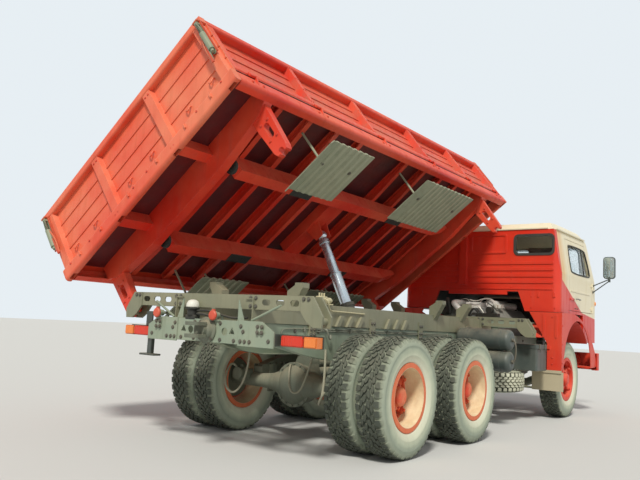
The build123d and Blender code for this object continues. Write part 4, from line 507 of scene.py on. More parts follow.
# Subframe: welded channels and stools in an olive paint, tied down by bolted brackets, with slanting
# wedges on the channels' sides, a rubber pad on each stool, and the valve that stops the tipping.
SUB_OUTER, SUB_TOP = 0.440, 1.250
PIN_XS = (-1.11, 3.24)
subframe_olive = coat("subframe_olive", (122, 126, 104), (154, 150, 124), dusty=0.55)
dress(subframe_olive, "subframe")
subframe_bolts = []
for side in (-1, 1):
    for x in (-0.45, 0.52, 1.50, 2.70):
        for along in (0.022, 0.068):
            subframe_bolts += [((x + along, side * 0.449, z), (0, side, 0)) for z in (0.985, 1.03, 1.11)]
    for x in PIN_XS:
        subframe_bolts += [((x - 0.0625, side * y, 1.255), REARWARD) for y in (0.93, 0.975)]
        subframe_bolts += [((x - 0.055, side * y, z), REARWARD) for y in (0.40, 0.455) for z in (1.19, 1.255)]
bolts("subframe_bolts", subframe_bolts, "chassis", bare_steel, 0.012, 0.010)

wedges = bmesh.new()
for side in (-1, 1):
    for x in (-0.08, 0.09, 0.26, 0.78, 0.95, 1.12):
        plate(wedges, [(x, 1.064), (x + 0.055, 1.064), (x + 0.125, 1.165), (x + 0.070, 1.165)], 1,
              side * SUB_OUTER, side * (SUB_OUTER + 0.028))
finished(wedges, "subframe_wedges", "chassis", subframe_olive)

stop_valve = bmesh.new()
block(stop_valve, (-0.345, -0.460, SUB_TOP), (-0.135, -0.370, SUB_TOP + 0.012), 0.003)
block(stop_valve, (-0.315, -0.450, SUB_TOP + 0.010), (-0.215, -0.390, SUB_TOP + 0.075), 0.006, 2)
lathe(stop_valve, [(0, 0.026), (0.075, 0.026), (0.080, 0.014), (0.100, 0.014)],
      (-0.215, -0.420, SUB_TOP + 0.042), FORWARD, 16)
pipe(stop_valve, [(-0.315, -0.42, SUB_TOP + 0.05), (-0.36, -0.42, SUB_TOP + 0.05), (-0.38, -0.45, SUB_TOP + 0.02),
                  (-0.38, -0.455, 1.14), (-0.36, -0.450, 1.06)], 0.009)
pipe(stop_valve, [(-0.265, -0.450, SUB_TOP + 0.05), (-0.265, -0.485, SUB_TOP + 0.05), (-0.25, -0.490, SUB_TOP + 0.01),
                  (-0.20, -0.470, 1.20), (-0.10, -0.450, 1.20), (0.40, -0.450, 1.195)], 0.007)
for turn in range(3):
    x = -0.300 + 0.035 * turn
    pipe(stop_valve, [(x, -0.42, SUB_TOP + 0.070), (x, -0.42, SUB_TOP + 0.105)], 0.008, 6)
finished(stop_valve, "tipping_stop_valve", "chassis",
         coat("valve_pale", (206, 200, 164), dusty=0.4, gloss=0.5))

stool_pads = bmesh.new()
for side in (-1, 1):
    for x in (-0.70, 1.85, 2.55):
        block(stool_pads, (x + 0.004, side * 0.460, 1.4095), (x + 0.086, side * 0.540, 1.415), 0.002)
finished(stool_pads, "stool_pads", "chassis", black_rubber)

# Springs, axles and shafts: forged and cast parts under grey paint and a coat of road dust. Rings of
# bolts close the axle covers, clamp rings hold the brake chambers, and hoses loop up to the frame.
HUB_HIGH = 0.509
TANDEM = (0.0, 1.32)
CHAMBER_BACK, CHAMBER_SIDE, CHAMBER_HIGH = 0.166, 0.57, 0.569


def bolt_ring(x, high, way, radius, count):
    """Places evenly round a circle on the lorry's middle line that faces along the lorry."""
    return [((x, y, high + rise), way) for y, rise in circle(radius, count)]


dress(cast_grey, "suspension", "tandem_axles", "front_axle", "driveline", "knuckle_left", "knuckle_right", "tie_rod")
axle_bolts = []
for axle_x in TANDEM:
    axle_bolts += bolt_ring(axle_x - 0.072, HUB_HIGH, REARWARD, 0.191, 16)
    axle_bolts += bolt_ring(axle_x + 0.246, 0.700, FORWARD, 0.060, 8)
for end_x in (0.604, 0.716):
    axle_bolts += [((end_x, side * y, 0.785), UPWARD) for side in (-1, 1) for y in (0.468, 0.542)]
for bolt_x in (4.454, 4.566):
    axle_bolts += [((bolt_x, side * y, 0.592), UPWARD) for side in (-1, 1) for y in (0.346, 0.434)]
axle_bolts += bolt_ring(3.735, 0.85, REARWARD, 0.200, 12)
bolts("axle_bolts", axle_bolts, "chassis", cast_grey, 0.010, 0.011)

chamber_clamps = bmesh.new()
for axle_x in TANDEM:
    for side in (-1, 1):
        x, y = axle_x - CHAMBER_BACK, side * CHAMBER_SIDE
        lathe(chamber_clamps, [(-0.009, 0.055), (-0.009, 0.067), (0.009, 0.067), (0.009, 0.055)],
              (x, y, CHAMBER_HIGH), FORWARD, 24, loop=True)
        block(chamber_clamps, (x - 0.010, y - 0.016, 0.630), (x + 0.010, y + 0.016, 0.652), 0.003)
finished(chamber_clamps, "chamber_clamps", "chassis", cast_grey)

brake_hoses = bmesh.new()
for axle_x in TANDEM:
    for side in (-1, 1):
        pipe(brake_hoses, [(axle_x - 0.20, side * 0.60, 0.62), (axle_x - 0.22, side * 0.64, 0.68),
                           (axle_x - 0.32, side * 0.62, 0.60), (axle_x - 0.40, side * 0.56, 0.46),
                           (axle_x - 0.34, side * 0.50, 0.38), (axle_x - 0.24, side * 0.47, 0.48),
                           (axle_x - 0.20, side * 0.45, 0.70), (axle_x - 0.20, side * 0.445, 0.86)], 0.011)
    pipe(brake_hoses, [(axle_x - 0.03, 0.06, 0.66), (axle_x - 0.10, 0.02, 0.72), (axle_x - 0.22, -0.06, 0.60),
                       (axle_x - 0.26, -0.12, 0.45), (axle_x - 0.22, -0.20, 0.46), (axle_x - 0.18, -0.24, 0.62),
                       (axle_x - 0.16, -0.30, 0.86), (axle_x - 0.16, -0.40, 0.95)], 0.009)
finished(brake_hoses, "brake_hoses", "chassis",
         coat("hose_grey", (172, 172, 150), (140, 138, 120), dusty=0.5, gloss=0.5))

# Engine and what shows of it through the cab's arch: castings left grey, pale alloy ducts, dark rubber
# elbows, thin steel fuel pipes and a few wires
BEHIND_X, BEHIND_Y, FAR_Y = 3.842, 0.09, 0.31


def drawn_at(tree, spot, home=ON_LORRY):
    """Where a point of a piece was drawn, before home moved it to where it stands."""
    back = home.inverted()
    return node(tree, "Mapping", {"Vector": spot, "Rotation": back.to_euler(), "Location": back.translation}).outputs[0]


def under_cab(tree, spot):
    """Pale alloy high up and near the middle, and dark paint on the boxes that hang behind the block."""
    x, y, _ = xyz(tree, drawn_at(tree, spot))
    behind = sums(tree, "MULTIPLY", over(tree, BEHIND_X, x), over(tree, BEHIND_Y, y))
    dark = sums(tree, "MAXIMUM", behind, over(tree, y, FAR_Y))
    return mix(tree, dark, shade(226, 226, 220), shade(42, 42, 38))


dress(coat("engine_paint", (120, 122, 120), (150, 150, 142), dusty=0.3, gloss=0.5, grain=0.0018), "engine_block")
dress(coat("engine_alloy", under_cab, dusty=0.15, gloss=0.35, grain=0.0014), "engine_dress")
engine_pipes = bmesh.new()
for x in (3.96, 4.12, 4.28, 4.44, 4.60):
    for side in (-1, 1):
        pipe(engine_pipes, [(x, side * 0.08, 1.50), (x, side * 0.10, 1.545), (x + 0.03, side * 0.20, 1.55),
                            (x + 0.05, side * 0.34, 1.47), (x + 0.05, side * 0.36, 1.42)], 0.004, 6)
pipe(engine_pipes, [(3.87, -0.36, 1.42), (3.85, -0.34, 1.53), (3.86, -0.20, 1.56), (3.85, -0.05, 1.50),
                    (3.86, 0.03, 1.53)], 0.007, 6)
pipe(engine_pipes, [(3.80, -0.20, 1.35), (3.79, -0.15, 1.43), (3.82, -0.05, 1.46), (3.80, 0.02, 1.40)], 0.008, 6)
for y in (-0.40, -0.34):
    block(engine_pipes, (3.90, y, 1.42), (4.02, y + 0.035, 1.475), 0.004)
finished(engine_pipes, "engine_pipes", "chassis",
         coat("pipe_steel", (228, 226, 214), dusty=0.2, gloss=0.35, metal=0.3))

engine_hoses = bmesh.new()
pipe(engine_hoses, [(3.79, 0.30, 1.33), (3.775, 0.30, 1.42), (3.78, 0.34, 1.50), (3.86, 0.38, 1.54),
                    (4.0, 0.40, 1.50), (4.05, 0.40, 1.43)], 0.030, 12)
pipe(engine_hoses, [(3.80, -0.12, 1.35), (3.78, -0.08, 1.42), (3.79, -0.02, 1.38), (3.80, 0.02, 1.30)], 0.014)
pipe(engine_hoses, [(3.86, -0.25, 1.53), (3.80, -0.22, 1.50), (3.79, -0.32, 1.46), (3.80, -0.40, 1.38)], 0.008)
finished(engine_hoses, "engine_hoses", "chassis", black_rubber)

# Radiator: a finned core between two tanks ahead of the engine, in black paint, with a round cowl, a fan
# of eight blades and a hose. It stands on the frame behind the cab's grille.
CORE_LOW, CORE_HIGH, FAN_HIGH, BLADES = 1.02, 1.56, 1.30, 8
radiator = bmesh.new()
block(radiator, (5.30, -0.50, CORE_LOW), (5.35, 0.50, CORE_HIGH))
for fin in range(-49, 50, 2):
    block(radiator, (5.292, fin / 100 - 0.002, CORE_LOW), (5.358, fin / 100 + 0.002, CORE_HIGH))
for low, high in ((CORE_LOW - 0.07, CORE_LOW), (CORE_HIGH, CORE_HIGH + 0.07)):
    block(radiator, (5.275, -0.53, low), (5.375, 0.53, high), 0.015, 2)
for side in (-1, 1):
    block(radiator, (5.29, side * 0.515 - 0.012, 0.93), (5.36, side * 0.515 + 0.012, 1.60), 0.003)
lathe(radiator, [(0, 0.28), (0, 0.33), (0.22, 0.31), (0.22, 0.28)], (5.30, 0, FAN_HIGH), REARWARD, 32, loop=True)
for across, rise in circle(1, BLADES):
    pipe(radiator, [(x, reach * across, FAN_HIGH + reach * rise) for x, reach in ((5.13, 0.05), (5.12, 0.26))], 0.020)
lathe(radiator, [(0, 0.060), (0.18, 0.060)], (5.16, 0, FAN_HIGH), REARWARD, 16)
pipe(radiator, [(5.28, 0.32, 1.60), (5.10, 0.32, 1.60), (4.98, 0.30, 1.58), (4.90, 0.25, 1.50), (4.80, 0.25, 1.48)],
     0.026)
finished(radiator, "radiator", "chassis", coat("radiator_black", (40, 44, 44), (70, 72, 66), dusty=0.5))

# Fuel tank, air tanks and battery box: rolled sheet in chassis paint and black, held by bolted straps,
# with a filler cap, drain taps, a steel pipe between the air tanks, and catches on the battery box
AIR_X, AIR_HIGHS = 2.50, (1.010, 0.765)
dress(coat("tank_grey", (78, 92, 84), (112, 122, 108), dusty=0.5), "fuel_tank")
dark_paint = coat("dark_paint", (44, 54, 54), (84, 94, 90), dusty=0.45)
dress(dark_paint, "air_tanks", "battery_box")
tank_fittings = bmesh.new()
lathe(tank_fittings, [(0, 0.060), (0.018, 0.060), (0.026, 0.048), (0.028, 0)], (2.38, 0.956, 1.068),
      (0, 0.25, 0.97), 20)
for z in AIR_HIGHS:
    lathe(tank_fittings, [(0, 0.016), (0.020, 0.016), (0.022, 0.010), (0.040, 0.010)],
          (AIR_X, -0.78, z - 0.119), (0, 0, -1), 10)
    lathe(tank_fittings, [(0, 0.022), (0.022, 0.022)], (AIR_X, -1.109, z), (0, -1, 0), 12)
pipe(tank_fittings, [(AIR_X, -1.125, 1.01), (AIR_X, -1.155, 0.99), (AIR_X, -1.155, 0.80),
                     (AIR_X, -1.125, 0.765)], 0.010)
for x in (3.43, 3.64):
    block(tank_fittings, (x, -1.112, 0.905), (x + 0.03, -1.101, 0.975), 0.003)
    pipe(tank_fittings, [(x + 0.015, -1.112, 0.92), (x + 0.015, -1.124, 0.90), (x + 0.015, -1.110, 0.87)], 0.004, 6)
finished(tank_fittings, "tank_fittings", "chassis", bare_steel)

# Wheels: cast hubs and clamps in orange-red, deep cream barrels on the driven axles with an orange
# edge, and front wheels all red. The tyres are dusty rubber with chunky blocks, four rows across.
# WHEELS gives for each axle its x, how far out the wheel's middle stands, and the hub's face from there.
WHEELS = {"front": (4.51, 1.013, 0.062), "mid": (TANDEM[1], 0.928, 0.139), "rear": (TANDEM[0], 0.928, 0.139)}
HUB_RING, HUB_BOLTS = 0.098, 10
HUB_EDGE, BARREL_EDGE = (0.2425, 0.2445), (0.2465, 0.2500)
HANDS = ((1, "left"), (-1, "right"))


def driven_wheel(tree, spot):
    """Orange-red hub, cream barrel and orange edge, by the distance from the nearest driven axle."""
    x, _, z = xyz(tree, drawn_at(tree, spot))
    flat = node(tree, "CombineXYZ", {0: x, 2: z}).outputs[0]
    reach = maths(tree, "MINIMUM", *(measure(tree, "DISTANCE", flat, (axle_x, 0, HUB_HIGH)) for axle_x in TANDEM))
    inside, lip = remap(tree, reach, *HUB_EDGE), remap(tree, reach, *BARREL_EDGE)
    cream = mix(tree, blotches(tree, spot, 7.0, 0.35, 0.7), shade(244, 230, 192), shade(222, 194, 150))
    hub = mix(tree, blotches(tree, spot, 9.0, 0.4, 0.65), shade(222, 72, 42), shade(232, 132, 92))
    return mix(tree, lip, mix(tree, inside, hub, cream), shade(226, 116, 74))


wheel_cream = coat("wheel_cream", driven_wheel, dusty=0.25, gloss=0.5)
wheel_red = coat("wheel_red", (214, 52, 36), (226, 96, 72), dusty=0.3, gloss=0.45)
dress(wheel_cream, "rims_mid_left", "rims_mid_right", "rims_rear_left", "rims_rear_right")
dress(wheel_red, "rim_front_left", "rim_front_right")
dress(dark_paint, "spare_rim")
for axle, (axle_x, middle, face) in WHEELS.items():
    for side, hand in HANDS:
        places = [((axle_x + along, side * (middle + face), HUB_HIGH + rise), (0, side, 0))
                  for along, rise in circle(HUB_RING, HUB_BOLTS)]
        bolts(f"hub_bolts_{axle}_{hand}", places, f"wheel_{axle}_{hand}", wheel_red, 0.009, 0.010)

# One pitch of the tread: a lug at each shoulder that runs down the wall, and zigzag blocks between. LUG
# gives (y, start, end, top, base) and BLOCKS (turn, y), where a turn of 1 is the way to the next pitch.
PITCHES, CROWN_R, CROWN_FALL, BLOCK_FOOT = 42, 0.509, 0.8, 0.488
LUG = [(0.066, 0.10, 0.64, 0.5045, 0.486), (0.088, 0.04, 0.76, 0.5015, 0.484), (0.106, 0.03, 0.74, 0.4985, 0.480),
       (0.1165, 0.06, 0.72, 0.4830, 0.474), (0.1215, 0.14, 0.64, 0.4640, 0.462)]
BLOCKS = [[(0.12, 0.005), (0.34, 0.001), (0.66, 0.010), (0.84, 0.026), (0.70, 0.034), (0.36, 0.032), (0.04, 0.022)],
          [(0.60, 0.036), (0.84, 0.034), (1.12, 0.040), (1.28, 0.052), (1.18, 0.061), (0.84, 0.062), (0.52, 0.052)]]


def on_tyre(turn, y, radius):
    """A point of the pitch, turn being its share of the way round to the next one."""
    angle = 2 * math.pi * turn / PITCHES
    return Vector((radius * math.sin(angle), y, radius * math.cos(angle)))


tread_pitch = bmesh.new()
for side, shift in ((1, 0.0), (-1, 0.5)):
    stations = []
    for y, start, end, top, base in LUG:
        deeper = y - (0.009 if top < 0.49 else 0)
        stations.append([tread_pitch.verts.new(on_tyre(turn + shift, side * width, radius)) for turn, width, radius in
                         ((start, deeper, base), (start + 0.03, y, top), (end - 0.03, y, top), (end, deeper, base))])
    lumps = [stations]
    for outline in BLOCKS:
        lumps.append([[tread_pitch.verts.new(on_tyre(turn + shift, side * y, radius - fall * y * y))
                       for turn, y in outline] for radius, fall in ((CROWN_R, CROWN_FALL), (BLOCK_FOOT, 0))])
    for rings in lumps:
        bands(tread_pitch, rings)
        tread_pitch.faces.new(rings[0])
        tread_pitch.faces.new(rings[-1])
bmesh.ops.recalc_face_normals(tread_pitch, faces=tread_pitch.faces)
pitch_mesh = as_mesh(tread_pitch, "tread_pitch")

ring_tree, given, result = new_tree("tread_ring", ("Pitch", "Geometry"), ("Count", "Int"), ("Rubber", "Material"))
each = node(ring_tree, "GeometryNodeInputIndex").outputs[0]
step = maths(ring_tree, "DIVIDE", 2 * math.pi, given["Count"])
about_axle = node(ring_tree, "CombineXYZ", {1: maths(ring_tree, "MULTIPLY", each, step)}).outputs[0]
spots = node(ring_tree, "GeometryNodePoints", {"Count": given["Count"]}).outputs[0]
ring = node(ring_tree, "GeometryNodeInstanceOnPoints", {"Points": spots, "Instance": given["Pitch"],
                                                        "Rotation": about_axle}).outputs[0]
end_tree(ring_tree, ring, given["Rubber"], result)


def dusty_rubber(tree, spot):
    """Dark blocks, a green-grey shoulder, and dust that grows paler towards the rim."""
    reach = node(tree, "Attribute", attribute_name="reach").outputs["Fac"]
    moved = remap(tree, noise(tree, spot, 14.0, 5.0), first=-0.022, last=0.022)
    ramp = node(tree, "ValToRGB", {0: remap(tree, maths(tree, "ADD", reach, moved), 0.26, 0.51)})
    stops = ramp.color_ramp.elements
    stops[0].color, stops[1].color = shade(226, 228, 206), shade(74, 80, 70)
    for place, colour in ((0.26, (214, 218, 196)), (0.50, (184, 194, 172)), (0.66, (150, 162, 146)),
                          (0.80, (160, 170, 152)), (0.90, (136, 144, 126)), (0.955, (66, 72, 64))):
        stops.new(place).color = shade(*colour)
    return ramp.outputs[0]


def unused_rubber(tree, spot):
    """Pale dusty blocks, with painted shade in the gaps between them."""
    reach = node(tree, "Attribute", attribute_name="reach").outputs["Fac"]
    # Painted shade: a dark band at the depth of the gaps between the blocks.
    shade_below = mix(tree, remap(tree, reach, 0.470, 0.480), shade(158, 164, 144), shade(54, 58, 50))
    return mix(tree, remap(tree, reach, 0.490, 0.500), shade_below, shade(206, 208, 186))


rubber = coat("tyre_rubber", dusty_rubber, dust=(196, 192, 168), dusty=0.30, worn=(60, 62, 52), wear=0.1, gloss=0.82,
              grain=0.0012)
spare_rubber = coat("spare_rubber", unused_rubber, dust=(206, 200, 176), dusty=0.4, worn=(92, 90, 76), wear=0.1,
                    gloss=0.85, grain=0.0012)
tread = grown(pitch_mesh, ring_tree, Count=PITCHES, Rubber=rubber)

WALL_PROFILE = [(0.097, 0.262), (0.097, 0.290), (0.106, 0.297), (0.112, 0.306), (0.113, 0.314), (0.121, 0.330),
                (0.1272, 0.350), (0.1290, 0.354), (0.1278, 0.359), (0.1318, 0.385), (0.1312, 0.408), (0.1290, 0.428),
                (0.1305, 0.432), (0.1288, 0.437), (0.1235, 0.458), (0.1150, 0.474), (0.1080, 0.484), (0.0900, 0.4885),
                (0.0450, 0.4925)]
carcass = bmesh.new()
lathe(carcass, WALL_PROFILE + [(0.0, 0.4935)] + [(-y, radius) for y, radius in reversed(WALL_PROFILE)], (0, 0, 0),
      (0, 1, 0), 84, loop=True)
bmesh.ops.recalc_face_normals(carcass, faces=carcass.faces)
carcass.from_mesh(tread)
tyre_mesh = as_mesh(carcass, "tyre")
tyre_mesh.attributes.new("reach", "FLOAT", "POINT").data.foreach_set(
    "value", [math.hypot(vertex.co.x, vertex.co.z) for vertex in tyre_mesh.vertices])


def tyres(node_name, middles, home, body, finish=rubber):
    """The tyres of one wheel position, which stand for that node of the frame."""
    together = bmesh.new()
    for count, middle in enumerate(middles):
        copy = tyre_mesh.copy()
        copy.transform(Matrix.Translation((0, middle, 0)) @ Matrix.Rotation(0.37 * count, 4, "Y"))
        together.from_mesh(copy)
    piece = put(as_mesh(together, node_name), node_name + "_rubber", body, finish, ON_LORRY @ home, 50)
    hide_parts(node_name)


for axle, (axle_x, middle, _) in WHEELS.items():
    for side, hand in HANDS:
        twin = axle != "front"
        home = Matrix.Translation((axle_x, side * middle, HUB_HIGH))
        if side < 0:
            home = home @ Matrix.Rotation(math.pi, 4, "Z")
        tyres(f"tyre{'s' if twin else ''}_{axle}_{hand}", (-0.155, 0.155) if twin else (0.0,), home,
              f"wheel_{axle}_{hand}")
tyres("spare_tyre", (0.0,), Matrix.Translation((3.30, -0.43, 0.495)) @ Matrix.Rotation(math.pi / 2, 4, "X"), "chassis",
      spare_rubber)

# Lamps: split tail lamps, red inboard and orange outboard, with ribbed plastic covers in thin frames
# held by screws, and clear headlamps set in the bumper
LAMP_SPLIT, RIB_PITCH = 0.958, 0.0085
LENS_X, LENS_SIDE, HEADLAMP_X = -1.1125, 0.745, 3.0
COVERS = (("red", (214, 52, 28), 0.752, 0.949), ("orange", (236, 132, 58), 0.967, 1.070))


def lamp_colours(tree, spot):
    """Red inboard, orange outboard, pale at the front, and dark grey on the folded brackets."""
    x, y, _ = xyz(tree, drawn_at(tree, spot))
    out = maths(tree, "ABSOLUTE", y)
    plastic = mix(tree, over(tree, out, LAMP_SPLIT), shade(206, 58, 34), shade(232, 128, 60))
    bracket = sums(tree, "MAXIMUM", over(tree, x, LENS_X), over(tree, LENS_SIDE, out))
    behind = mix(tree, bracket, plastic, shade(52, 58, 54))
    return mix(tree, over(tree, x, HEADLAMP_X), behind, shade(206, 214, 216))


dress(coat("lamp_finish", lamp_colours, dusty=0.25, wear=0.2, gloss=0.25), "lamps")
for label, colour, low_y, high_y in COVERS:
    covers = bmesh.new()
    for side in (-1, 1):
        ribs = int((high_y - low_y) / RIB_PITCH)
        outline = [(side * (low_y + (high_y - low_y) * count / ribs), -1.1885 if count % 2 else -1.1905)
                   for count in range(ribs + 1)]
        outline += [(side * high_y, -1.182), (side * low_y, -1.182)]
        plate(covers, [(x, y) for y, x in outline], 2, 0.909, 0.975)
    cover_finish = coat(f"cover_{label}", colour, dusty=0.2, wear=0.1, gloss=0.14)
    finished(covers, f"tail_cover_{label}", "chassis", cover_finish, smooth=20)
bolts("lamp_screws", [((-1.186, side * y, z), REARWARD) for side in (-1, 1) for y in (0.748, 0.953)
                      for z in (0.907, 0.977)], "chassis", bare_steel, 0.004, 0.004, 8)

# Stay below the left tail lamp: a folded strip of black-painted steel with a flat foot, and its small
# mount above the lamp
lamp_stay = bmesh.new()
block(lamp_stay, (-1.150, 0.752, 0.745), (-1.112, 0.806, 0.905), 0.003)
block(lamp_stay, (-1.176, 0.685, 0.731), (-1.090, 0.875, 0.747), 0.004)
block(lamp_stay, (-1.130, 0.790, 0.985), (-1.112, 0.870, 1.115), 0.004)
finished(lamp_stay, "lamp_stay", "chassis", dark_paint)

# Bumper and front mudguards: deep steel pressings in the cab's red, with a dusty rubber flap hung
# behind each wheel, and bolts along the skirt and the flap's bar
GUARD_RED, GUARD_FADED, FLAP_TOP = (212, 42, 22), (224, 70, 44), 0.641
red_paint = coat("red_paint", GUARD_RED, GUARD_FADED, dusty=0.18)
dress(red_paint, "bumper")


def guard_colours(tree, spot):
    """Red skirts and plates; the flap behind the wheel is pale with dust."""
    red = weathered(tree, spot, shade(*GUARD_RED), GUARD_FADED, 1.0)
    return mix(tree, over(tree, FLAP_TOP, xyz(tree, spot)[2]), red, shade(186, 176, 148))


dress(coat("guard_red", guard_colours, dusty=0.2), "front_mudguards")
guard_bolts = []
for side in (-1, 1):
    guard_bolts += [((3.929, side * y, 0.622), REARWARD) for y in (0.88, 1.03, 1.18)]
    guard_bolts += [((3.938, side * 1.10, z), REARWARD) for z in (0.72, 0.80, 1.33)]
    guard_bolts += [((x, side * 1.224, z), (0, side, 0)) for x, z in ((3.97, 0.74), (3.97, 0.98), (3.97, 1.22))]
bolts("guard_bolts", guard_bolts, "chassis", red_paint, 0.009, 0.007)

# Cab: welded sheet steel, red behind and below, cream above the slanting line along its sides, with a
# cream roof, rubber-sealed windows, two wipers, and small lamps at the corners
CAB_RED, CAB_FADED = (214, 40, 22), (226, 62, 38)
LIVERY, BACK_CORNER = [(4.669, 1.599), (5.040, 1.434), (5.726, 1.366)], (4.118, 4.124)
SKIN_SIDE, SKIN_FRONT, PALER_XS = 0.90, 5.3, (4.20, 4.36)
BACK_X, WINDOW_SIDE, WINDOW_HIGH, CORNER_STEPS = 4.012, 0.81, 2.31, 5
SCREEN_X, SCREEN_HIGH, SCREEN_LEAN = 5.636, 2.13, 0.3056
DOOR_OUT, BELT, DOOR_LEAN = 1.165, 1.93, 0.1441
DOOR_WINDOW = [(4.53, 1.97), (5.48, 1.97), (5.35, 2.37), (4.53, 2.37)]


def cab_colours(tree, spot):
    """Cream above the side line and ahead of the back corner, red elsewhere."""
    x, y, z = xyz(tree, drawn_at(tree, spot))
    line = maths(tree, "MAXIMUM", *(remap(tree, x, x1, x2, z1, z2, clamp=False)
                                    for (x1, z1), (x2, z2) in zip(LIVERY, LIVERY[1:])))
    above = remap(tree, maths(tree, "SUBTRACT", z, line), -0.006, 0.006)
    skin = sums(tree, "MAXIMUM", over(tree, maths(tree, "ABSOLUTE", y), SKIN_SIDE), over(tree, x, SKIN_FRONT))
    cream = mix(tree, remap(tree, x, *PALER_XS), shade(232, 196, 140), shade(238, 228, 196))
    red = weathered(tree, spot, shade(*CAB_RED), CAB_FADED, 1.0)
    return mix(tree, sums(tree, "MULTIPLY", above, remap(tree, x, *BACK_CORNER), skin), red, cream)


cab_finish = coat("cab_finish", cab_colours, dusty=0.12, wear=0.35, gloss=0.3)
roof_cream = coat("roof_cream", (238, 230, 202), (228, 218, 188), dusty=0.15, wear=0.3, gloss=0.3)
dress(cab_finish, "cab_shell", "door_left", "door_right")
dress(roof_cream, "cab_roof")
dress(dark_paint, "cab_floor")

glass, glass_tree, glass_shader = new_finish("glass")
for socket, value in {"Base Color": shade(222, 236, 236), "Alpha": 0.35, "Transmission Weight": 1.0,
                      "IOR": 1.1}.items():
    glass_shader.inputs[socket].default_value = value
grime = noise(glass_tree, node(glass_tree, "TexCoord").outputs["Object"], 5.0, 6.0)
glass_tree.links.new(remap(glass_tree, grime, 0.4, 0.8, 0.02, 0.22), glass_shader.inputs["Roughness"])
dress(glass, "cab_glass", "door_glass_left", "door_glass_right")


def rounded(half_wide, half_high, radius):
    """The outline of a rectangle with rounded corners about (0, 0)."""
    outline = []
    for quarter, (u, v) in enumerate(((1, 1), (-1, 1), (-1, -1), (1, -1))):
        for count in range(CORNER_STEPS + 1):
            turn = math.pi / 2 * (quarter + count / CORNER_STEPS)
            outline.append((u * (half_wide - radius) + radius * math.cos(turn),
                            v * (half_high - radius) + radius * math.sin(turn)))
    return outline


def seal(bm, inner, outer, spot, low, high):
    """A flat rubber ring between two outlines; spot turns (u, v, depth) into a place on the cab."""
    rings = [[bm.verts.new(spot(u, v, depth)) for u, v in outline] for outline, depth in
             ((inner, low), (outer, low), (outer, high), (inner, high))]
    bands(bm, rings + rings[:1])


def on_screen(u, v, depth):
    """A place on the raked windscreen, depth being how far it stands off the glass."""
    return (SCREEN_X + depth - SCREEN_LEAN * v, u, SCREEN_HIGH + v)


def on_door(side, x, z, stand):
    """A place on the door's outer face, which leans in above the belt line."""
    return (x, side * (DOOR_OUT - max(0.0, z - BELT) * DOOR_LEAN + stand), z)


window_seals = bmesh.new()
for side in (-1, 1):
    seal(window_seals, rounded(0.250, 0.115, 0.045), rounded(0.284, 0.149, 0.070),
         lambda u, v, depth, y=side * WINDOW_SIDE: (depth, y + u, WINDOW_HIGH + v), BACK_X, BACK_X + 0.024)
seal(window_seals, rounded(0.950, 0.275, 0.060), rounded(0.992, 0.317, 0.090), on_screen, -0.006, 0.012)
pipe(window_seals, [on_screen(0, -0.29, 0.004), on_screen(0, 0.29, 0.004)], 0.011)
for y in (-0.42, 0.42):
    pipe(window_seals, [on_screen(y, -0.33, 0.022), on_screen(y + 0.14, -0.14, 0.030),
                        on_screen(y + 0.30, 0.02, 0.026)], 0.007)
    pipe(window_seals, [on_screen(y + 0.14, -0.26, 0.020), on_screen(y + 0.40, 0.22, 0.020)], 0.009)
finished(window_seals, "window_seals", "cab", black_rubber)

for side, hand in HANDS:
    door_trim = bmesh.new()
    rim_line = []
    for count, (x, z) in enumerate(DOOR_WINDOW):
        for other_x, other_z in (DOOR_WINDOW[count - 1], DOOR_WINDOW[(count + 1) % 4]):
            share = 0.05 / math.hypot(other_x - x, other_z - z)
            rim_line.append((x + (other_x - x) * share, z + (other_z - z) * share))
    pipe(door_trim, [on_door(side, x, z, 0.002) for x, z in rim_line], 0.010, closed=True)
    pipe(door_trim, [on_door(side, 5.18, 1.97, -0.004), on_door(side, 5.18, 2.37, -0.004)], 0.009)
    for x in (4.70, 4.80):
        block(door_trim, (x, side * DOOR_OUT - 0.003, 1.475), (x + 0.06, side * DOOR_OUT + 0.003, 1.487), 0.001)
    finished(door_trim, f"door_trim_{hand}", f"door_{hand}", black_rubber)
    handle = bmesh.new()
    pipe(handle, [on_door(side, *spot) for spot in ((4.70, 1.615, 0.014), (4.71, 1.615, 0.040), (4.79, 1.612, 0.044),
                                                    (4.87, 1.609, 0.038), (4.88, 1.608, 0.012))], 0.009)
    lathe(handle, [(0, 0.018), (0.006, 0.018), (0.008, 0.010)], on_door(side, 4.66, 1.60, -0.001),
          (0, side, 0), 16)
    finished(handle, f"door_handle_{hand}", f"door_{hand}",
             coat(f"handle_metal_{hand}", (150, 150, 146), dusty=0.2, gloss=0.3, metal=0.8))

corner_lamps = bmesh.new()
for side in (-1, 1):
    lathe(corner_lamps, [(0, 0.036), (0.012, 0.038), (0.022, 0.032), (0.026, 0)], (5.735, side * 1.145, 1.60),
          (0.6, side * 0.8, 0), 20)
    lathe(corner_lamps, [(0, 0.030), (0.020, 0.026), (0.024, 0)], (5.42, side * 0.90, 2.60),
          (0.7, 0, 0.7), 16)
finished(corner_lamps, "corner_lamps", "cab",
         coat("amber", (236, 140, 40), dusty=0.15, wear=0.1, gloss=0.15))
bolts("cab_back_bolts", [((4.021, y, z), REARWARD) for y in (-0.50, 0.50) for z in (1.73, 1.843, 1.93, 2.016, 2.09)]
      + [((4.021, side * y, z), REARWARD) for side in (-1, 1) for y in (0.78, 1.10) for z in (1.45, 1.60)],
      "cab", cab_finish, 0.007, 0.006, 10)

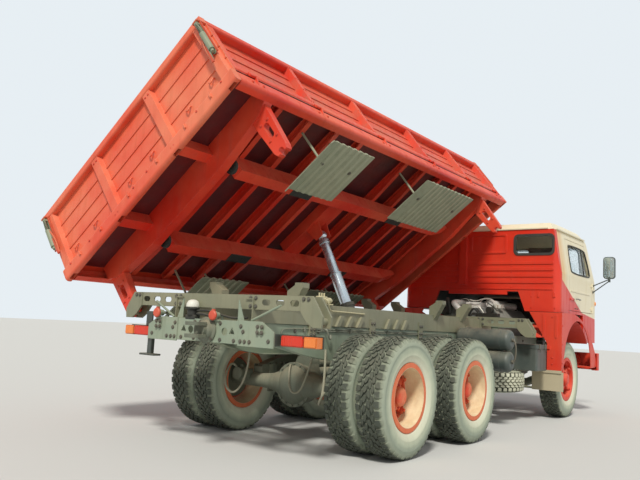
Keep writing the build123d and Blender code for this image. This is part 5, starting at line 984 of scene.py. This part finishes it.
# Mirrors: black heads on bent tubes at the door pillars, each with a pale silvered glass that faces
# back, its corners rounded like the head's
dress(dark_paint, "mirrors")
mirror_glass = bmesh.new()
for side in (-1, 1):
    plate(mirror_glass, [(side * 1.40 + u, 2.14 + v) for u, v in rounded(0.075, 0.155, 0.038)], 0, 5.597, 5.6005)
finished(mirror_glass, "mirror_glass", "cab",
         coat("silvered", (196, 216, 220), dusty=0.15, wear=0.0, gloss=0.08, metal=0.9, grain=0.0001))

# Cab fittings: seats on boxes, covered in dark vinyl with sewn channels, a moulded dashboard with its
# hood and dials, a gear lever, and a thin-rimmed steering wheel on its column
SEAT_SIDE = 0.85
COLUMN, STEERING_Y, STEERING_R, RIM_POINTS = Vector((-0.42, 0, 0.9)), 0.80, 0.214, 24
seat_boxes = bmesh.new()
for side in (-1, 1):
    block(seat_boxes, (4.30, side * 0.740, 1.42), (4.72, side * 1.040, 1.70), 0.012, 2)
plate(seat_boxes, [(5.64, 1.72), (5.40, 1.72), (5.368, 1.745), (5.362, 1.785), (5.390, 1.820), (5.44, 1.832),
                   (5.64, 1.824)], 1, -1.08, 1.08)
plate(seat_boxes, [(5.385, 1.80), (5.400, 1.872), (5.420, 1.880), (5.56, 1.850), (5.56, 1.80)], 1, 0.59, 1.01)
block(seat_boxes, (5.56, -0.56, 1.695), (5.64, 0.56, 1.73), 0.006)
lathe(seat_boxes, [(0, 0.046), (0.030, 0.050), (0.038, 0.030)],
      (5.125, STEERING_Y, 1.965), COLUMN, 20)
lathe(seat_boxes, [(0, 0.026), (-0.56, 0.026)], (5.13, STEERING_Y, 1.96), COLUMN, 12)
wheel_turn = COLUMN.to_track_quat("Z", "Y")
wheel_middle = Vector((5.12, STEERING_Y, 1.972))
pipe(seat_boxes, [wheel_middle + wheel_turn @ Vector((u, v, 0)) for u, v in circle(STEERING_R, RIM_POINTS)], 0.012,
     closed=True)
pipe(seat_boxes, [(4.96, 0.42, 1.69), (4.97, 0.42, 1.86), (4.93, 0.44, 2.00)], 0.010)
lathe(seat_boxes, [(-0.028, 0), (-0.018, 0.020), (0, 0.028), (0.018, 0.020), (0.028, 0)], (4.93, 0.44, 2.01),
      UPWARD, 14)
for dial_y, dial_r in ((0.68, 0.045), (STEERING_Y, 0.032), (0.92, 0.045)):
    face_r = dial_r * 0.86
    lathe(seat_boxes, [(0, dial_r), (0.010, dial_r), (0.010, face_r), (0.004, face_r)],
          (5.395, dial_y, 1.840), (-1, 0, 0.15), 20)
for turn in (0.4, math.pi - 0.4):
    arm = wheel_turn @ Vector((0.207 * math.cos(turn), 0.207 * math.sin(turn), 0))
    pipe(seat_boxes, [wheel_middle + arm * 0.15, wheel_middle + arm], 0.009)
fittings = finished(seat_boxes, "cab_fittings", "cab",
                    coat("moulded_black", (42, 42, 40), (60, 60, 56), dusty=0.3, gloss=0.5))
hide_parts("cab_interior")
vinyl = coat("seat_vinyl", (66, 56, 46), (88, 76, 62), dusty=0.15, wear=0.2, gloss=0.45, grain=0.0010)


def cushion(name, middle, half, lean, channels, crown):
    """A stuffed seat pad: its sides pull in between the corners and sewn channels cross its face."""
    bm = bmesh.new()
    bmesh.ops.create_cube(bm, size=2)
    bmesh.ops.subdivide_edges(bm, edges=bm.edges, cuts=15, use_grid_fill=True)
    for vertex in bm.verts:
        u, v, w = vertex.co
        side_pull = 1 - 0.05 * (1 - v * v) * abs(u) ** 6
        end_pull = 1 - 0.05 * (1 - u * u) * abs(v) ** 6
        full = 1 - 0.30 * max(abs(u), abs(v)) ** 5
        groove = 1.0
        for place in channels:
            groove -= 0.22 * math.exp(-((v - place) / 0.05) ** 2) * (1 - abs(u) ** 8)
        rise = w * full * (groove if w > 0 else 1.0)
        if w > 0:
            rise += crown * (1 - u * u) * (1 - v * v) * w
        vertex.co = Vector((v * end_pull * half[0], u * side_pull * half[1], rise * half[2]))
    bmesh.ops.smooth_vert(bm, verts=bm.verts, factor=0.4, use_axis_x=True, use_axis_y=True, use_axis_z=True)
    bmesh.ops.transform(bm, verts=bm.verts, matrix=Matrix.Translation(middle) @ Matrix.Rotation(lean, 4, "Y"))
    piece = finished(bm, name, "cab", vinyl, smooth=80)
    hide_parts("cab_interior")


for y, hand in ((SEAT_SIDE, "left"), (-SEAT_SIDE, "right")):
    cushion(f"seat_cushion_{hand}", (4.525, y, 1.762), (0.245, 0.20, 0.060), 0.02, (-0.5, 0.0, 0.5), 0.25)
    cushion(f"seat_back_{hand}", (4.262, y, 2.050), (0.250, 0.20, 0.052), -1.44, (-0.55, -0.1, 0.35), 0.25)

# Tipping cylinder: a grey outer tube, and bright stages polished by their seals. Oil comes through a
# fixed hose to a rotary fitting in line with the rear trunnion, so that the tube swings past it.
dress(coat("cylinder_grey", (84, 88, 82), (108, 108, 96), dusty=0.5), "cylinder_tube")
dress(coat("polished_steel", (206, 216, 222), dust=(150, 156, 154), dusty=0.15, worn=(150, 158, 162), wear=0.2,
           gloss=0.18, metal=0.85, grain=0.0002), "cylinder_stage_lower", "cylinder_stage_upper")
feed_hose = bmesh.new()
pipe(feed_hose, [(0.66, 0, 1.12), (0.61, -0.02, 1.12), (0.60, -0.14, 1.12), (0.60, -0.30, 1.08), (0.62, -0.36, 1.02),
                 (0.66, -0.40, 0.98)], 0.016)
lathe(feed_hose, [(0, 0.050), (0.012, 0.050), (0.012, 0.026), (0.048, 0.026)], (0.704, 0, 1.12),
      REARWARD, 12)
finished(feed_hose, "cylinder_hose", "chassis", black_rubber)

# Load bed: welded from pressed red channels under a steel floor, with round rubber faces on the long
# beams' ends. Inside, loads have scoured the paint down to steel along the floor and the lower walls.
WALL_FACES = ((-1.489, -1), (3.850, 1))
INSIDE_XS, INSIDE_Y, INSIDE_LOW, RUBBED = (-1.4885, 3.8495), 1.2365, 1.640, (2.35, 1.65)
BEAM_SIDE = 0.50
BED_RED, BED_FADED, BED_AGE = (214, 40, 20), (232, 92, 60), {"dust": (220, 164, 128), "dusty": 0.35, "wear": 0.4}
# The end walls' red is a paler, painted-sunlit copy of the bed's red; their faded patches and dust are paler to match.
SUNLIT_WALL_RED, SUNLIT_WALL_FADED, SUNLIT_WALL_AGE = (222, 74, 46), (234, 132, 96), {"dust": (226, 176, 140), "dusty": 0.4, "wear": 0.4}


def scoured_and_shaded_below(tree, spot):
    """Red paint rubbed away in long streaks to grey steel on top, and a dark brown-red painted shade on the faces that
    look down.
    """
    facing = node(tree, "TexCoord").outputs["Normal"]
    bed_up = ON_BED.to_3x3() @ Vector(UPWARD)
    # Painted shade: the faces that look down under the bed are painted a dark brown-red.
    shade_below = over(tree, -0.5, measure(tree, "DOT_PRODUCT", facing, bed_up))
    painted_underside_shade = mix(tree, blotches(tree, spot, 4.0, 0.35, 0.7, 6.0), shade(104, 30, 30), shade(76, 34, 38))
    drawn = node(tree, "Mapping", {"Vector": spot, "Scale": (0.5, 3.0, 3.0)}).outputs[0]
    bare = blotches(tree, drawn, 3.0, 0.44, 0.60, 8.0, 0.7)
    steel = mix(tree, blotches(tree, drawn, 9.0, 0.3, 0.7), shade(122, 116, 108), shade(148, 110, 84))
    return mix(tree, shade_below, mix(tree, sums(tree, "MULTIPLY", bare, 0.85), shade(204, 58, 34), steel), painted_underside_shade)


def rubbed_inside(paint, faded):
    """The paint of a wall, worn to steel in streaks low down on the face that looks into the bed."""
    def scheme(tree, spot):
        flat = drawn_at(tree, spot, ON_BED)
        x, y, z = xyz(tree, flat)
        inner = sums(tree, "MULTIPLY", over(tree, INSIDE_Y, maths(tree, "ABSOLUTE", y)), over(tree, x, INSIDE_XS[0]),
                     over(tree, INSIDE_XS[1], x), over(tree, z, INSIDE_LOW))
        drawn = node(tree, "Mapping", {"Vector": flat, "Scale": (1.0, 1.0, 3.4)}).outputs[0]
        bare = sums(tree, "MULTIPLY", inner, remap(tree, z, *RUBBED), blotches(tree, drawn, 3.2, 0.40, 0.60, 8.0, 0.72))
        steel = mix(tree, blotches(tree, drawn, 9.0, 0.3, 0.7), shade(132, 120, 108), shade(156, 110, 82))
        return mix(tree, sums(tree, "MULTIPLY", bare, 0.8), weathered(tree, spot, shade(*paint), faded), steel)
    return scheme


bed_red = coat("bed_red", BED_RED, BED_FADED, **BED_AGE)
dress(bed_red, "bed_frame")
dress(coat("board_red", rubbed_inside(BED_RED, BED_FADED), **BED_AGE), "side_board_left", "side_board_right")
dress(coat("sunlit_wall_red", rubbed_inside(SUNLIT_WALL_RED, SUNLIT_WALL_FADED), **SUNLIT_WALL_AGE), "bed_front_wall", "bed_rear_wall")
dress(coat("floor_steel", scoured_and_shaded_below, dusty=0.2, gloss=0.45, metal=0.15), "bed_floor")
beam_ends = bmesh.new()
for side in (-1, 1):
    y = side * BEAM_SIDE
    lathe(beam_ends, [(-0.026, 0.052), (-0.020, 0.064), (0.004, 0.064)], (-0.972, y, 1.50),
          FORWARD, 28)
    for rib in (-0.036, -0.012, 0.012, 0.036):
        block(beam_ends, (-1.003, y + rib - 0.006, 1.462), (-0.997, y + rib + 0.006, 1.538), 0.002)
    for x in (-0.20, 1.55):
        block(beam_ends, (x, y - 0.055, 1.4135), (x + 0.30, y + 0.055, 1.4205), 0.002)
finished(beam_ends, "beam_rubbers", "bed", black_rubber, ON_BED)

bed_bolts = []
for side in (-1, 1):
    for x in PIN_XS:
        bed_bolts += [((x - 0.034, side * y, z), REARWARD) for y in (1.02, 1.10) for z in (1.24, 1.42)]
    for x in (-1.30, -0.42, 0.68, 1.79, 2.80, 3.65):
        bed_bolts += [((x + along, side * 1.25, 1.625), (0, side, 0)) for along in (-0.03, 0.10)]
bolts("bed_bolts", bed_bolts, "bed", bed_red, 0.011, 0.009, home=ON_BED)
for side, hand in HANDS:
    rivets = [((x + along, side * 1.242, z), (0, side, 0)) for x in (-0.41, 0.66, 1.84, 2.90)
              for along in (-0.016, 0.016) for z in (1.80, 1.96, 2.12, 2.27)]
    bolts(f"board_rivets_{hand}", rivets, f"board_{hand}", bed_red, 0.006, 0.005, 10, home=ON_BED)
wall_bolts = []
for face_x, out in WALL_FACES:
    for y in (-0.44, 0.385):
        wall_bolts += [((face_x + out * 0.062, y + across, z), (out, 0, 0)) for across in (-0.02, 0.02)
                       for z in (1.62, 2.24)]
    wall_bolts += [((face_x + out * 0.068, y, 1.66), (out, 0, 0)) for y in (-1.12, -0.80, -0.10, 0.10, 0.80, 1.12)]
bolts("end_wall_bolts", wall_bolts, "bed", bed_red, 0.008, 0.006, 10, home=ON_BED)

rope_loops = bmesh.new()
for face_x, out in WALL_FACES:
    for y in (-1.03, -0.72, -0.19, 0.14, 0.70, 1.02):
        pipe(rope_loops, [(face_x, y - 0.030, 1.805), (face_x + out * 0.030, y - 0.030, 1.80),
                          (face_x + out * 0.042, y, 1.76), (face_x + out * 0.030, y + 0.030, 1.80),
                          (face_x, y + 0.030, 1.805)], 0.007, 6)
# The rope loops take the end walls' painted-sunlit red.
finished(rope_loops, "rope_loops", "bed", coat("painted_sunlit_red", SUNLIT_WALL_RED, SUNLIT_WALL_FADED, **SUNLIT_WALL_AGE), ON_BED)

# Latches at the bed's corners: a grey spring housing on its plate, an orange lever and link, and the
# coil spring on its rod
LATCH_XS, LATCH_SIDE, HOUSING_R = (-1.587, 3.948), 1.214, 0.0275
COIL_R, COIL_RISE = 0.017, 0.0028


def latch_colours(tree, spot):
    """Grey-green spring housings and rods; the plates and levers round them are orange-red."""
    x, y, _ = xyz(tree, drawn_at(tree, spot, ON_BED))
    along = maths(tree, "ABSOLUTE", maths(tree, "SUBTRACT", x, sum(LATCH_XS) / 2))
    corner = node(tree, "CombineXYZ", {0: along, 1: maths(tree, "ABSOLUTE", y)}).outputs[0]
    reach = measure(tree, "DISTANCE", corner, ((LATCH_XS[1] - LATCH_XS[0]) / 2, LATCH_SIDE, 0))
    return mix(tree, over(tree, reach, HOUSING_R), shade(132, 142, 118), shade(206, 78, 48))


dress(coat("latch_finish", latch_colours, dusty=0.4), "bed_latches")
latch_springs, latch_links = bmesh.new(), bmesh.new()
for end_x in LATCH_XS:
    for side in (-1, 1):
        y = side * LATCH_SIDE
        coil = [(end_x + COIL_R * math.cos(turn * math.pi / 3), y + COIL_R * math.sin(turn * math.pi / 3),
                 2.135 + COIL_RISE * turn) for turn in range(40)]
        pipe(latch_springs, coil, 0.003, 6)
        pipe(latch_links, [(end_x, side * 1.170, 1.835), (end_x, side * 1.160, 1.95), (end_x, side * 1.176, 2.05),
                           (end_x, side * 1.200, 2.12)], 0.009)
        block(latch_links, (end_x - 0.012, y - 0.032, 2.272), (end_x + 0.03, y + 0.032, 2.290), 0.004)
finished(latch_springs, "latch_springs", "bed", bare_steel, ON_BED)
finished(latch_links, "latch_links", "bed",
         coat("link_orange", (214, 84, 46), (200, 110, 76), dusty=0.35), ON_BED)

# Bed mudguards: corrugated sheet steel in pale grey-green, hung on rods over the driven wheels and
# stained by mud thrown up from the tyres
RIB_STEP, RIB_TOP, RIB_LOW = 0.092, 1.2305, 1.2195
dress(coat("guard_sheet", (136, 144, 122), (164, 166, 140), dust=(190, 186, 158), dusty=0.6, worn=(96, 92, 72),
           gloss=0.6), "bed_mudguards")
guard_ribs = bmesh.new()
for side in (-1, 1):
    for start, count in ((-0.424, 6), (1.376, 10)):
        for rib in range(count):
            x = start + RIB_STEP * rib
            plate(guard_ribs, [(x - 0.024, RIB_TOP), (x + 0.024, RIB_TOP), (x + 0.014, RIB_LOW),
                               (x - 0.014, RIB_LOW)], 1, side * 0.642, side * 1.248)
# The ribs' crests are a paler copy of the sheet's grey-green: a painted highlight along the corrugations.
lit_rib_sheet = coat("lit_rib_sheet", (150, 156, 132), (172, 172, 146), dust=(190, 186, 158), dusty=0.6, worn=(84, 82, 64))
finished(guard_ribs, "guard_ribs", "bed", lit_rib_sheet, ON_BED)

guard_nuts = []
for side in (-1, 1):
    for x in (-0.43, -0.01, 1.33, 2.17):
        guard_nuts.append(((x, side * 1.0, 1.257), UPWARD))
        guard_nuts.append(((x, side * 1.0, 1.2295), (0, 0, -1)))
bolts("guard_nuts", guard_nuts, "bed", bare_steel, 0.014, 0.012, home=ON_BED)

low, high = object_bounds()
